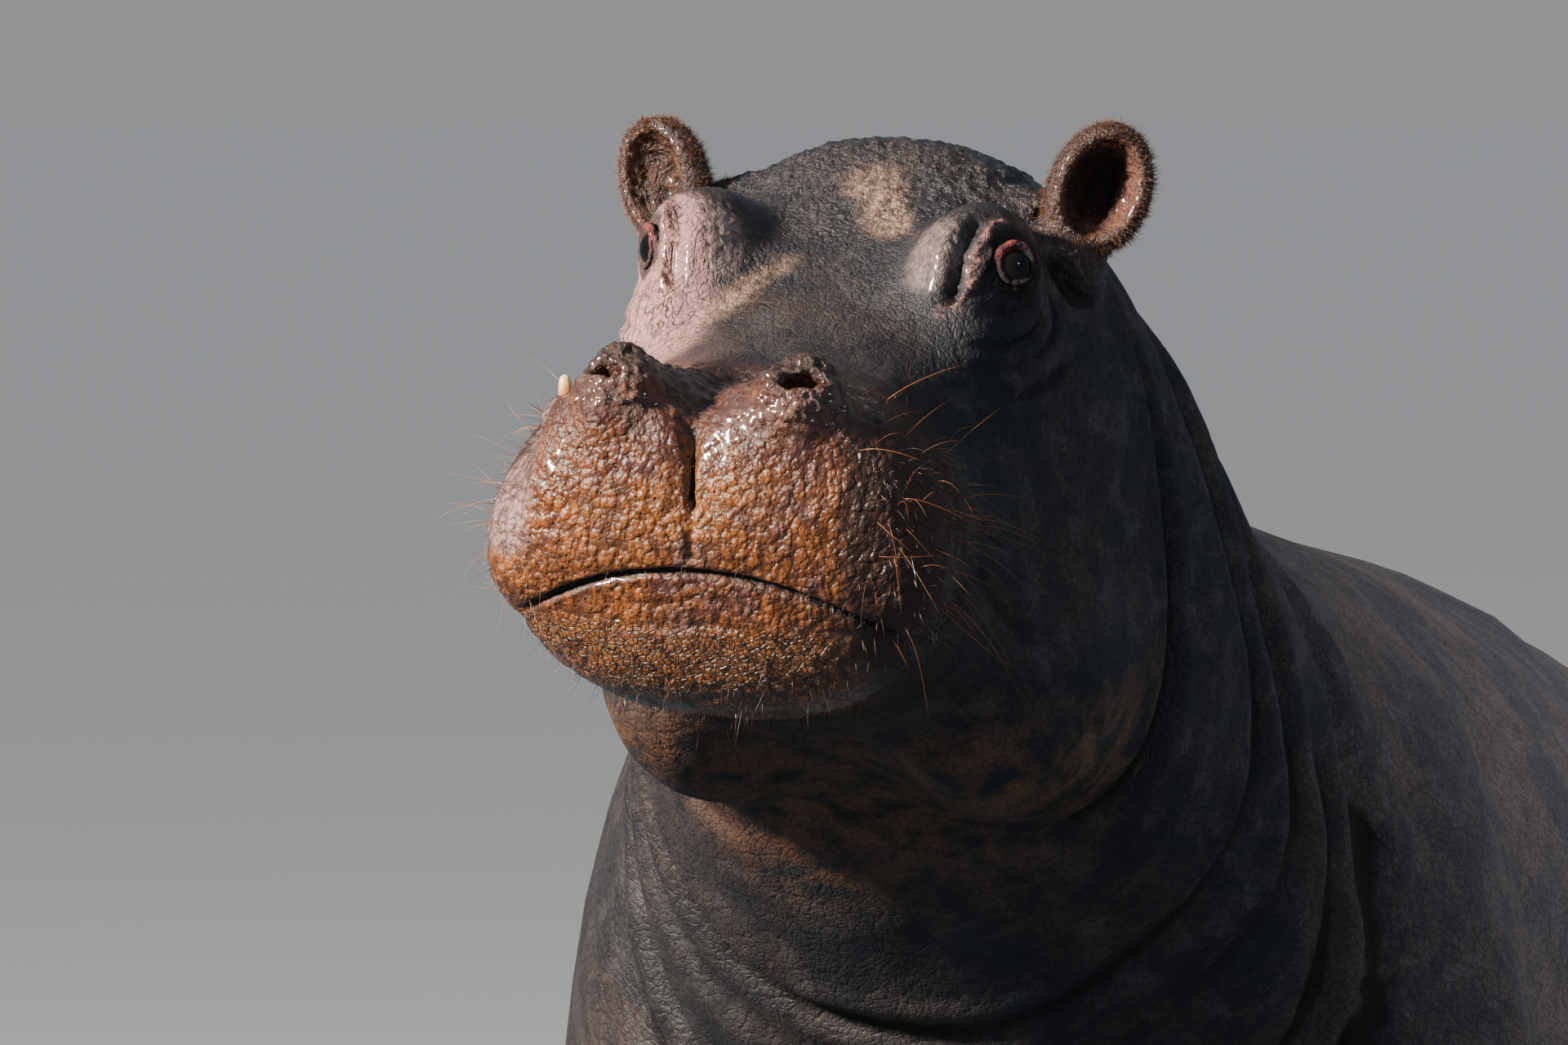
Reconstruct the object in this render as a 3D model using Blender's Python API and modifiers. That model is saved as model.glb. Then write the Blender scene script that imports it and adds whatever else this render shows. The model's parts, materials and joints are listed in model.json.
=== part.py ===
"""A life-size common hippopotamus, standing in mid stride with its head raised.

Metres, +Z up. The animal faces -Y, so its left side is +X. Its flesh is laid up whole from a few
rounded forms, fused, smoothed and worked over, and is then parted with thin cuts into the named
pieces. Eyes, tusk tip and toenails are solids of their own, let into the flesh.
"""

import math

import bmesh
import bpy
import numpy as np
from mathutils import Euler, Matrix, Vector

# Driving sizes, in metres, and turns. The head's own frame starts at the middle of the lips.
MOUTH_PLACE = (-0.078, 0.004, 1.33)
HEAD_PITCH = math.radians(9.3)  # nose down
HEAD_ROLL = math.radians(2.9)  # left side down
HEAD_YAW = math.radians(-5.6)  # muzzle towards its right
HEAD_BACK = 0.79  # where the head is parted from the neck
EYE_RADIUS = 0.027
EYE_PLACES = {"left": (0.190, 0.455, 0.229), "right": (0.175, 0.455, 0.227)}
EAR_PLACES = {"left": (0.234, 0.622, 0.280), "right": (0.232, 0.622, 0.262)}
EAR_RADII = (0.052, 0.036, 0.073)
EAR_HOLLOW = ((0, -0.024, 0.006), (0.036, 0.040, 0.054))  # in the ear's frame: middle, radii
EAR_LEAN = math.radians(20)  # outwards
EAR_TURN = math.radians(16)  # opening turned from straight ahead to the side
EAR_TIP_BACK = math.radians(4)
TUSK_TIP = (-0.167, 0.112, 0.166)
TUSK_LEAN = (math.radians(-4), math.radians(5))  # back and out
TUSK_RADIUS = 0.0095
TUSK_SWELL = 2.2  # how fast it thickens towards its root
TUSK_LENGTH = 0.085
TOE_ANGLES = (-57, -19, 19, 57)  # degrees from straight ahead
TOE_REACH = 0.100
TOE_HEIGHT = 0.036
TOE_RADII = (0.042, 0.060, 0.056)
TOES_FORWARD = 0.012  # of the foot's middle
NAIL_RADII = (0.024, 0.012, 0.019)
NAIL_REACH = 0.051  # from the toe's middle
NAIL_HEIGHT = 0.024
NAIL_LEAN = math.radians(12)
TRUNK_TOP = (1.36, 1.50)  # (back, height) of two points where the neck is parted from the trunk
TRUNK_FRONT = (1.02, 0.45)
JAW_DROP = 0.25  # how far under the lips the head and the jaw are parted at the sides
EAR_ROOM = ((0.252, 0.622, 0.300), (0.086, 0.078, 0.100))  # parts the ear off: middle, radii
TAIL_ROOM = ((0.0, 3.230, 0.790), (0.10, 0.080, 0.270))
BELLY = 0.10  # nothing of the trunk is lower
GAP = 0.0004  # between neighbouring solids

FUSE_VOXEL = 0.008
FLESH_TRIANGLES = 3950
HEAD_SPARED = 0.6  # how much of the thinning the head is spared
THIN_CARE = 0.06

SIDES = {"left": 1, "right": -1}
SIDE_NAMES = {sign: side for side, sign in SIDES.items()}

# Rounded masses on each side of the head: middle in the head's frame, radii.
HEAD_MASSES = {
    "brow": ((0.146, 0.484, 0.212), (0.070, 0.100, 0.084)),
    "nostril": ((0.098, 0.072, 0.160), (0.045, 0.070, 0.044)),
    "lip over the canine": ((0.172, 0.150, 0.025), (0.076, 0.130, 0.104)),
    "root of the ear": ((0.200, 0.625, 0.200), (0.040, 0.046, 0.060)),
    "jowl": ((0.150, 0.600, -0.205), (0.132, 0.235, 0.176)),
    "bone under the brow": ((0.160, 0.470, 0.120), (0.060, 0.135, 0.105)),
}
# Masses on each side of the trunk: middle, radii, lean forward.
BODY_MASSES = {
    "shoulder": ((0.335, 1.45, 0.80), (0.185, 0.27, 0.40), -0.16),
    "haunch": ((0.31, 2.68, 0.74), (0.225, 0.33, 0.40), 0.10),
}
# Hollows in the head: middle in its frame, radii, depth.
SNOUT_DIP = ((0, 0.13, 0.17), (0.05, 0.12, 0.06), 0.018)
# The muzzle is widest at the lips: middle in the head's frame, radii, height.
MUZZLE_SIDES = {
    "right, above": ((-0.222, 0.060, 0.110), (0.070, 0.130, 0.095), -0.034),
    "right, at the lips": ((-0.222, 0.060, -0.040), (0.070, 0.110, 0.070), 0.008),
    "right, by the nostril": ((-0.150, 0.120, 0.185), (0.055, 0.095, 0.060), -0.015),
    "left, at the lips": ((0.222, 0.060, -0.030), (0.070, 0.110, 0.080), 0.008),
}
SIDE_DIPS = {
    "nostril": ((0.104, 0.052, 0.186), (0.024, 0.030, 0.024), 0.016),
    "eye socket": ((0.212, 0.440, 0.232), (0.030, 0.040, 0.030), 0.008),
}
# Grooves: width, depth, and points in the head's frame.
LIP_GROOVE = (0.014, 0.012)
LIP_HALF_WIDTH = 0.235
PHILTRUM = (0.016, 0.016, ((0, 0, 0.055), (0, 0.01, 0.11), (0, 0.06, 0.17)))
CHEEK_FOLD = (
    0.045,
    0.022,
    ((0.232, 0.735, 0.20), (0.300, 0.740, 0.02), (0.300, 0.735, -0.18), (0.200, 0.720, -0.38)),
)
# Folds round the neck: width, depth, how far the ring leans, and (back, lowest, highest) of each.
NECK_FOLD = (0.035, 0.012, 0.05)
NECK_FOLDS = ((0.93, 0.80, 1.64), (1.10, 0.62, 1.52))

# Form tables. Each row is one station along the form:
# (back from the lips, half width, top, widest level, bottom, squareness above, below).
# The skull's and the jaw's heights are in the head's frame, the trunk's above the ground.
SKULL = [
    (0.00, 0.236, 0.168, 0.015, -0.090, 2.5, 2.9),
    (0.08, 0.242, 0.180, 0.012, -0.110, 2.5, 2.9),
    (0.17, 0.224, 0.172, 0.012, -0.120, 2.5, 2.6),
    (0.27, 0.194, 0.170, 0.010, -0.130, 2.6, 2.3),
    (0.36, 0.200, 0.192, 0.000, -0.150, 2.8, 2.2),
    (0.46, 0.222, 0.226, -0.030, -0.200, 2.8, 2.2),
    (0.56, 0.252, 0.270, -0.050, -0.250, 2.5, 2.2),
    (0.67, 0.272, 0.314, -0.060, -0.290, 2.25, 2.2),
    (0.79, 0.272, 0.274, -0.060, -0.280, 2.2, 2.2),
    (0.92, 0.240, 0.210, -0.050, -0.250, 2.2, 2.2),
]
JAW = [
    (0.016, 0.200, 0.060, -0.045, -0.152, 2.4, 2.3),
    (0.10, 0.214, 0.060, -0.050, -0.172, 2.4, 2.3),
    (0.20, 0.205, 0.060, -0.060, -0.190, 2.4, 2.3),
    (0.32, 0.190, 0.060, -0.100, -0.225, 2.4, 2.2),
    (0.44, 0.210, 0.050, -0.140, -0.272, 2.3, 2.2),
    (0.56, 0.252, 0.040, -0.170, -0.345, 2.2, 2.2),
    (0.66, 0.278, 0.030, -0.180, -0.390, 2.2, 2.2),
    (0.76, 0.268, 0.020, -0.170, -0.370, 2.2, 2.2),
    (0.88, 0.220, 0.000, -0.150, -0.300, 2.2, 2.2),
]
TRUNK = [
    (0.55, 0.220, 1.580, 1.35, 1.160, 2.3, 2.2),
    (0.72, 0.290, 1.690, 1.25, 0.980, 2.4, 2.2),
    (0.86, 0.325, 1.615, 1.17, 0.860, 2.4, 2.2),
    (1.00, 0.358, 1.520, 1.07, 0.720, 2.3, 2.2),
    (1.15, 0.395, 1.432, 0.98, 0.570, 2.2, 2.2),
    (1.35, 0.450, 1.380, 0.88, 0.430, 2.1, 2.2),
    (1.58, 0.510, 1.350, 0.82, 0.345, 2.1, 2.2),
    (1.86, 0.568, 1.312, 0.76, 0.285, 2.1, 2.2),
    (2.17, 0.592, 1.278, 0.73, 0.265, 2.1, 2.2),
    (2.48, 0.575, 1.255, 0.73, 0.310, 2.1, 2.2),
    (2.74, 0.515, 1.200, 0.75, 0.410, 2.1, 2.1),
    (2.95, 0.410, 1.110, 0.76, 0.510, 2.1, 2.1),
    (3.10, 0.300, 1.010, 0.76, 0.590, 2.1, 2.1),
]
# Legs: (height, out from the midline, back from the foot, half width, half depth).
LEGS = {
    "fore": [
        (1.00, 0.330, 0.00, 0.145, 0.190),
        (0.75, 0.385, 0.02, 0.172, 0.218),
        (0.55, 0.395, 0.03, 0.162, 0.188),
        (0.38, 0.385, 0.02, 0.137, 0.147),
        (0.24, 0.378, 0.015, 0.119, 0.126),
        (0.12, 0.375, 0.00, 0.121, 0.127),
        (0.05, 0.375, -0.01, 0.126, 0.134),
        (-0.04, 0.375, -0.01, 0.126, 0.134),
    ],
    "hind": [
        (1.00, 0.280, -0.05, 0.175, 0.250),
        (0.75, 0.345, -0.08, 0.208, 0.282),
        (0.55, 0.370, -0.06, 0.187, 0.228),
        (0.38, 0.365, 0.010, 0.145, 0.162),
        (0.24, 0.358, 0.040, 0.118, 0.130),
        (0.12, 0.355, 0.02, 0.119, 0.127),
        (0.05, 0.355, 0.00, 0.124, 0.132),
        (-0.04, 0.355, 0.00, 0.124, 0.132),
    ],
}
LEG_TOP = 1.00
LEG_BOTTOM = -0.04
HIP_BACK = {"fore": 1.45, "hind": 2.67}
FOOT_BACK = {  # where each foot stands, back from the lips
    ("fore", "left"): 1.31,
    ("fore", "right"): 1.60,
    ("hind", "left"): 2.80,
    ("hind", "right"): 2.54,
}
# The room that each leg is parted with: (height, out, half width, half depth).
LEG_ROOM = {
    "fore": [
        (0.00, 0.375, 0.22, 0.24),
        (0.30, 0.385, 0.22, 0.24),
        (0.60, 0.42, 0.24, 0.235),
        (0.88, 0.44, 0.22, 0.20),
    ],
    "hind": [
        (0.00, 0.355, 0.22, 0.24),
        (0.30, 0.365, 0.24, 0.28),
        (0.60, 0.42, 0.27, 0.31),
        (0.95, 0.44, 0.26, 0.28),
    ],
}
# Tail: (height, back, half width, half depth).
TAIL = [
    (1.060, 3.030, 0.075, 0.070),
    (0.960, 3.130, 0.058, 0.050),
    (0.850, 3.182, 0.044, 0.034),
    (0.720, 3.202, 0.034, 0.024),
    (0.590, 3.208, 0.026, 0.016),
]


def between(stations):
    """A function giving every column smoothly between the stations, held at the ends."""
    rows = np.array(sorted(stations), float)
    at, values = rows[:, 0], rows[:, 1:]
    slopes = np.gradient(values, at, axis=0)

    def look_up(place):
        place = min(max(place, at[0]), at[-1])
        i = min(int(np.searchsorted(at, place, side="right")) - 1, len(at) - 2)
        span = at[i + 1] - at[i]
        u = (place - at[i]) / span
        return (
            values[i] * (1 + 2 * u) * (1 - u) ** 2
            + slopes[i] * span * u * (1 - u) ** 2
            + values[i + 1] * u * u * (3 - 2 * u)
            - slopes[i + 1] * span * u * u * (1 - u)
        )

    return look_up


def rounded(angle, square):
    """A point of the unit superellipse of that squareness."""
    c, s = math.cos(angle), math.sin(angle)
    return (
        math.copysign(abs(c) ** (2 / square), c),
        math.copysign(abs(s) ** (2 / square), s),
    )


def cap(distance, length, blunt):
    """How full a form is at this distance from its end, from 0 at the end to 1 past the cap."""
    if distance >= length:
        return 1.0
    return (1 - (1 - max(distance, 0.0) / length) ** blunt) ** (1 / blunt)


def ramp(values, start, end):
    """0 up to start, then evenly to 1 at end, for every value."""
    return np.clip((values - start) / (end - start), 0, 1)


def mouth_level(x, y):
    """Height of the line between the lips, in the head's frame."""
    return -0.066 * (abs(x) / 0.19) ** 2.2 + 0.05 * max(0.0, y - 0.15)


def head_frame():
    turn = Euler((HEAD_PITCH, HEAD_ROLL, HEAD_YAW), "XYZ").to_matrix().to_4x4()
    return Matrix.Translation(MOUTH_PLACE) @ turn


def on_side(sign, place):
    """A frame at a place on one side of the head."""
    x, y, z = place
    return head_frame() @ Matrix.Translation((sign * x, y, z))


def ear_frame(sign):
    """The ear's own frame: up along the ear, its opening towards -Y."""
    turn = Euler((-EAR_TIP_BACK, sign * EAR_LEAN, sign * EAR_TURN), "XYZ")
    return on_side(sign, EAR_PLACES[SIDE_NAMES[sign]]) @ turn.to_matrix().to_4x4()


def form(name, place, rings=48, around=56):
    """A sphere drawn out: place(along from 0 to 1, angle) gives where each of its points goes."""
    bm = bmesh.new()
    bmesh.ops.create_uvsphere(bm, u_segments=around, v_segments=rings, radius=1.0)
    for vert in bm.verts:
        along = math.acos(max(-1.0, min(1.0, vert.co.z))) / math.pi
        vert.co = place(along, math.atan2(vert.co.y, vert.co.x))
    bmesh.ops.triangulate(bm, faces=bm.faces, quad_method="FIXED")
    bmesh.ops.recalc_face_normals(bm, faces=bm.faces)
    return finished(name, bm)


def ball(name, frame, radii, segments=24):
    """An ellipsoid of these radii about the frame's origin."""
    bm = bmesh.new()
    bmesh.ops.create_uvsphere(bm, u_segments=segments, v_segments=segments // 2, radius=1.0)
    bmesh.ops.transform(bm, matrix=frame @ Matrix.Diagonal((*radii, 1)), verts=bm.verts)
    return finished(name, bm)


def block(name, frame, low, high):
    """A box between two corners, as the frame sees them."""
    bm = bmesh.new()
    bmesh.ops.create_cube(bm, size=1.0)
    size = [b - a for a, b in zip(low, high)]
    middle = [(a + b) / 2 for a, b in zip(low, high)]
    place = frame @ Matrix.Translation(middle) @ Matrix.Diagonal((*size, 1))
    bmesh.ops.transform(bm, matrix=place, verts=bm.verts)
    return finished(name, bm)


def finished(name, bm):
    mesh = bpy.data.meshes.new(name)
    bm.to_mesh(mesh)
    bm.free()
    return mesh


def spread(along, start, end):
    """Rings set closer together towards both ends."""
    return start + (end - start) * (0.5 - 0.5 * math.cos(math.pi * along))


def section_form(name, stations, frame, caps, lowest=None, highest=None):
    """A form of upright sections, capped round at both ends.

    lowest and highest, where given, are the levels that it may not pass at a point.
    """
    table = between(stations)
    front, back = stations[0][0], stations[-1][0]
    front_cap, back_cap = caps

    def place(along, angle):
        y = spread(along, front, back)
        width, top, middle, bottom, above, below = table(y)
        full = cap(y - front, *front_cap) * cap(back - y, *back_cap)
        x, z = rounded(angle, above if math.sin(angle) > 0 else below)
        x *= width * full
        z = middle + z * full * ((top - middle) if z > 0 else (middle - bottom))
        if lowest:
            z = max(z, lowest(x, y))
        if highest:
            z = min(z, highest(x, y))
        return frame @ Vector((x, y, z))

    return form(name, place, 64, 72)


def leg_form(kind, side):
    table = between(LEGS[kind])

    def place(along, angle):
        z = spread(along, LEG_TOP, LEG_BOTTOM)
        out, back, half_width, half_depth = table(z)
        full = cap(LEG_TOP - z, 0.15, 2.2) * cap(z - LEG_BOTTOM, 0.02, 2.5)
        x, y = rounded(angle, 2.2)
        return Vector(
            (
                SIDES[side] * out + x * half_width * full,
                leg_back(kind, side, z) + back + y * half_depth * full,
                z,
            )
        )

    return form("leg", place, 40, 40)


def leg_back(kind, side, z):
    """How far back the leg's line is at this height: from the hip it leans towards its foot."""
    hip, foot = HIP_BACK[kind], FOOT_BACK[kind, side]
    return hip + (foot - hip) * cap(LEG_TOP - z, LEG_TOP, 1.4)


def toe_frames(kind, side):
    """One frame for each toe, at its middle on the ground, pointing forwards along -Y."""
    out = SIDES[side] * LEGS[kind][-1][1]
    foot = Matrix.Translation((out, FOOT_BACK[kind, side] - TOES_FORWARD, 0))
    for angle in TOE_ANGLES:
        turn = Matrix.Rotation(math.radians(angle), 4, "Z")
        yield foot @ turn @ Matrix.Translation((0, -TOE_REACH, 0))


def tail_form():
    table = between(TAIL)
    top, bottom = TAIL[0][0], TAIL[-1][0]

    def place(along, angle):
        z = spread(along, top, bottom)
        back, half_width, half_depth = table(z)
        full = cap(top - z, 0.05, 2.2) * cap(z - bottom, 0.05, 2.2)
        x, y = rounded(angle, 2.0)
        return Vector((x * half_width * full, back + y * half_depth * full, z))

    return form("tail", place, 32, 24)


def link(name, mesh, collection=None):
    thing = bpy.data.objects.new(name, mesh)
    (collection or bpy.context.scene.collection).objects.link(thing)
    return thing


def evaluated(thing):
    """The object's mesh with its modifiers applied; the object goes."""
    graph = bpy.context.evaluated_depsgraph_get()
    mesh = bpy.data.meshes.new_from_object(thing.evaluated_get(graph))
    bpy.data.objects.remove(thing)
    return mesh


def joined(meshes):
    bm = bmesh.new()
    for mesh in meshes:
        bm.from_mesh(mesh)
    return finished("joined", bm)


def fused(meshes):
    """One closed skin round all the meshes."""
    thing = link("fused", joined(meshes))
    remesh = thing.modifiers.new("fuse", "REMESH")
    remesh.mode = "VOXEL"
    remesh.voxel_size = FUSE_VOXEL
    return evaluated(thing)


def cut_from(mesh, cutter):
    """The mesh less the cutter."""
    thing, tool = link("cut", mesh), link("tool", cutter)
    boolean = thing.modifiers.new("cut", "BOOLEAN")
    boolean.operation = "DIFFERENCE"
    boolean.object = tool
    result = evaluated(thing)
    bpy.data.objects.remove(tool)
    return result


class Clay:
    """A dense mesh that strokes move about."""

    def __init__(self, mesh):
        self.mesh = mesh
        self.points = np.empty(len(mesh.vertices) * 3, np.float64)
        mesh.vertices.foreach_get("co", self.points)
        self.points = self.points.reshape(-1, 3)
        ends = np.empty(len(mesh.edges) * 2, np.int32)
        mesh.edges.foreach_get("vertices", ends)
        ends = ends.reshape(-1, 2)
        self.a, self.b = ends[:, 0], ends[:, 1]
        self.count = np.bincount(ends.ravel(), minlength=len(self.points))[:, None]

    def soften(self, rounds, where=None):
        """Each point moves to the middle of its neighbours, as far as where says."""
        share = 1.0 if where is None else where[:, None]
        n = len(self.points)
        for _ in range(rounds):
            total = np.empty_like(self.points)
            for axis in range(3):
                c = self.points[:, axis]
                total[:, axis] = np.bincount(self.a, c[self.b], n) + np.bincount(
                    self.b, c[self.a], n
                )
            self.points += share * 0.7 * (total / self.count - self.points)

    def normals(self):
        self.store()
        normals = np.empty(len(self.points) * 3, np.float32)
        self.mesh.vertices.foreach_get("normal", normals)
        return normals.reshape(-1, 3).astype(np.float64)

    def store(self):
        self.mesh.vertices.foreach_set("co", self.points.ravel())
        self.mesh.update()

    def placed(self, frame):
        """The points as this frame sees them."""
        local = np.array(frame.inverted())
        return self.points @ local[:3, :3].T + local[:3, 3]

    def near(self, frame, radii):
        """1 at the frame's origin, fading to 0 at these radii from it."""
        squared = ((self.placed(frame) / np.array(radii)) ** 2).sum(axis=1)
        return np.clip(1 - squared, 0, 1) ** 2

    def swell(self, frame, radii, height):
        """Raises (or, with a height under 0, sinks) a soft patch along the surface's normals."""
        self.points += self.normals() * (height * self.near(frame, radii))[:, None]

    def crease(self, path, width, depth):
        """Sinks a soft groove along a path."""
        nearest = np.full(len(self.points), np.inf)
        for start, end in zip(path, path[1:]):
            start, end = np.array(start), np.array(end)
            run = end - start
            along = np.clip((self.points - start) @ run / (run @ run), 0, 1)
            gap = np.linalg.norm(self.points - start - along[:, None] * run, axis=1)
            nearest = np.minimum(nearest, gap)
        fade = np.exp(-((nearest / width) ** 2))
        self.points -= self.normals() * (depth * fade)[:, None]


def smooth_path(points, steps=6):
    """A Catmull-Rom curve through the points."""
    points = [Vector(p) for p in points]
    padded = [points[0], *points, points[-1]]
    path = []
    for a, b, c, d in zip(padded, padded[1:], padded[2:], padded[3:]):
        for step in range(steps):
            u = step / steps
            path.append(
                0.5
                * (
                    2 * b
                    + (c - a) * u
                    + (2 * a - 5 * b + 4 * c - d) * u * u
                    + (3 * b - a - 3 * c + d) * u**3
                )
            )
    return [*path, points[-1]]


def head_forms(head):
    yield section_form(
        "skull",
        SKULL,
        head,
        ((0.105, 3.0), (0.15, 2.2)),
        lowest=lambda x, y: mouth_level(x, y) - 0.004 if y < 0.22 else -1,
    )
    yield section_form(
        "jaw", JAW, head, ((0.11, 2.7), (0.15, 2.2)), highest=lambda x, y: mouth_level(x, y)
    )
    hollow_place, hollow_radii = EAR_HOLLOW
    for sign in SIDES.values():
        for name, (place, radii) in HEAD_MASSES.items():
            yield ball(name, on_side(sign, place), radii)
        outer = ball("ear", ear_frame(sign), EAR_RADII, 32)
        hollow = ear_frame(sign) @ Matrix.Translation(hollow_place)
        yield cut_from(outer, ball("hollow", hollow, hollow_radii, 32))


def body_forms():
    level = Matrix.Identity(4)
    yield section_form("trunk", TRUNK, level, ((0.10, 2.2), (0.26, 2.2)))
    yield tail_form()
    for side, sign in SIDES.items():
        for name, ((x, y, z), radii, lean) in BODY_MASSES.items():
            middle = Matrix.Translation((sign * x, y, z))
            yield ball(name, middle @ Matrix.Rotation(lean, 4, "X"), radii)
        for kind in LEGS:
            yield leg_form(kind, side)
            for toe in toe_frames(kind, side):
                yield ball("toe", toe @ Matrix.Translation((0, 0, TOE_HEIGHT)), TOE_RADII, 16)


def make_flesh():
    """The whole animal's flesh as one closed mesh, light enough to part."""
    head = head_frame()
    clay = Clay(fused([*head_forms(head), *body_forms()]))
    clay.soften(10, np.maximum(ramp(clay.points[:, 2], 0.04, 0.24), 0.25))
    y, z = clay.points[:, 1], clay.points[:, 2]
    legs_and_head_kept = ramp(y, 0.62, 0.92) * ramp(z, 0.25, 0.45)
    tail_kept = ramp(y, 3.13, 3.08)
    clay.soften(90, legs_and_head_kept * tail_kept)
    _, back, level = clay.placed(head).T
    cheeks = ramp(level, 0.13, 0.05) * (back < HEAD_BACK)
    clay.soften(24, cheeks)
    snout_bridge = ramp(back, 0.57, 0.53) * ramp(back, 0.2, 0.3)
    clay.soften(20, snout_bridge)
    work_over(clay, head)
    clay.soften(2)
    clay.store()
    return lightened(clay)


def work_over(clay, head):
    """The larger folds and hollows."""
    lips = [
        head @ Vector((x, 0.03 + 0.9 * max(0.0, abs(x) - 0.12) ** 1.4, mouth_level(x, 0)))
        for x in np.linspace(-LIP_HALF_WIDTH, LIP_HALF_WIDTH, 17)
    ]
    clay.crease(lips, *LIP_GROOVE)
    width, depth, groove = PHILTRUM
    clay.crease([head @ Vector(point) for point in groove], width, depth)
    place, radii, depth = SNOUT_DIP
    clay.swell(head @ Matrix.Translation(place), radii, -depth)
    for place, radii, height in MUZZLE_SIDES.values():
        clay.swell(head @ Matrix.Translation(place), radii, height)
    for sign in SIDES.values():
        for place, radii, depth in SIDE_DIPS.values():
            clay.swell(on_side(sign, place), radii, -depth)
        width, depth, fold = CHEEK_FOLD
        clay.crease(smooth_path([on_side(sign, p).translation for p in fold]), width, depth)
    table = between(TRUNK)
    width, depth, lean = NECK_FOLD
    for back, low, high in NECK_FOLDS:
        half_width, _, middle, *_ = table(back)
        ring = []
        for angle in np.linspace(0, 2 * math.pi, 25):
            up = math.sin(angle)
            across = half_width * math.cos(angle)
            ring.append((across, back - lean * up, middle + up * (high - low) / 2))
        clay.crease(ring, width, depth)


def lightened(clay):
    """The flesh thinned to a few thousand faces, most of them on the head."""
    thing = link("flesh", clay.mesh)
    keep = thing.vertex_groups.new(name="thin")
    spared = ramp(clay.points[:, 1], 0.90, 0.75)
    for level in range(11):
        rows = np.nonzero(np.round(spared * 10) == level)[0]
        keep.add(rows.tolist(), 1.0 - HEAD_SPARED * level / 10, "REPLACE")
    thin = thing.modifiers.new("thin", "DECIMATE")
    thin.ratio = FLESH_TRIANGLES / (2 * len(clay.mesh.polygons))
    thin.vertex_group = keep.name
    thin.vertex_group_factor = THIN_CARE
    thin.use_collapse_triangulate = True
    mesh = evaluated(thing)
    mesh.name = "flesh"
    return mesh


def neck_room(grow):
    """A large box in front of the slanted plane where the neck meets the trunk."""
    (top_back, top), (front_back, front) = TRUNK_TOP, TRUNK_FRONT
    angle = -math.atan2(top_back - front_back, top - front)
    frame = Matrix.Translation((0, top_back, top)) @ Matrix.Rotation(angle, 4, "X")
    return block("neck_room", frame, (-0.9, -1.9, -1.2), (0.9, grow, 0.9))


def head_room(grow):
    """A box round the head, back to where it is parted from the neck."""
    return block("head_room", head_frame(), (-0.6, -0.4, -0.80), (0.6, HEAD_BACK + grow, 0.6))


def jaw_room(grow):
    """All that lies under the line between the lips, carried back to the neck."""
    bm = bmesh.new()
    bmesh.ops.create_grid(bm, x_segments=16, y_segments=5, size=0.5)
    front, back, bottom = -0.3, HEAD_BACK + 0.2, -0.9
    for vert in bm.verts:
        vert.co.y = front + (vert.co.y + 0.5) * (back - front)
        vert.co.z = max(mouth_level(vert.co.x, vert.co.y), -JAW_DROP) + grow
    skin = bmesh.ops.extrude_face_region(bm, geom=bm.faces[:])["geom"]
    for vert in skin:
        if isinstance(vert, bmesh.types.BMVert):
            vert.co.z = bottom
    bmesh.ops.recalc_face_normals(bm, faces=bm.faces)
    bmesh.ops.transform(bm, matrix=head_frame(), verts=bm.verts)
    return finished("jaw_room", bm)


def ear_room(sign, grow):
    place, radii = EAR_ROOM
    return ball("ear_room", on_side(sign, place), [r + grow for r in radii], 14)


def tail_room(grow):
    place, radii = TAIL_ROOM
    return ball("tail_room", Matrix.Translation(place), [r + grow for r in radii], 16)


def leg_room(kind, side, grow):
    """An upright rounded block round the leg and its shoulder or haunch, flat underneath."""
    table = between(LEG_ROOM[kind])
    top, under = LEG_ROOM[kind][-1][0] + grow, -0.05

    def place(along, angle):
        z = spread(along, top, under)
        out, half_width, half_depth = table(z)
        full = cap(top - z, 0.20, 2.2) * cap(z - under, 0.04, 2.2)
        x, y = rounded(angle, 2.8)
        level = max(z, 0.0)
        return Vector(
            (
                SIDES[side] * out + x * (half_width + grow) * full,
                leg_back(kind, side, level) + y * (half_depth + grow) * full,
                level,
            )
        )

    return form("leg_room", place, 7, 10)


def eye(sign, grow=0.0):
    return ball("eye", on_side(sign, EYE_PLACES[SIDE_NAMES[sign]]), [EYE_RADIUS + grow] * 3, 14)


def tusk(grow=0.0):
    """The tip of the lower right tusk, where it stands up through the lip."""
    back, out = TUSK_LEAN
    turn = Euler((back, -out, 0)).to_matrix().to_4x4()
    frame = head_frame() @ Matrix.Translation(TUSK_TIP) @ turn

    def place(along, angle):
        z = spread(along, grow, -TUSK_LENGTH - grow)
        full = cap(grow - z, 0.012, 2.0) * cap(z + TUSK_LENGTH + grow, 0.008, 2.0)
        radius = (TUSK_RADIUS * (0.82 - TUSK_SWELL * z) + grow) * full
        return frame @ Vector((math.cos(angle) * radius, math.sin(angle) * radius, z))

    return form("tusk", place, 8, 8)


def nail(toe, grow=0.0):
    place = toe @ Matrix.Translation((0, -NAIL_REACH, NAIL_HEIGHT))
    lean = Matrix.Rotation(-NAIL_LEAN, 4, "X")
    return ball("nail", place @ lean, [r + grow for r in NAIL_RADII], 8)


def painted(mesh, name, colour, roughness):
    material = bpy.data.materials.new(name)
    material.use_nodes = True
    shader = material.node_tree.nodes["Principled BSDF"]
    shader.inputs["Base Color"].default_value = (*colour, 1)
    shader.inputs["Roughness"].default_value = roughness
    mesh.materials.clear()
    mesh.materials.append(material)


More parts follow.
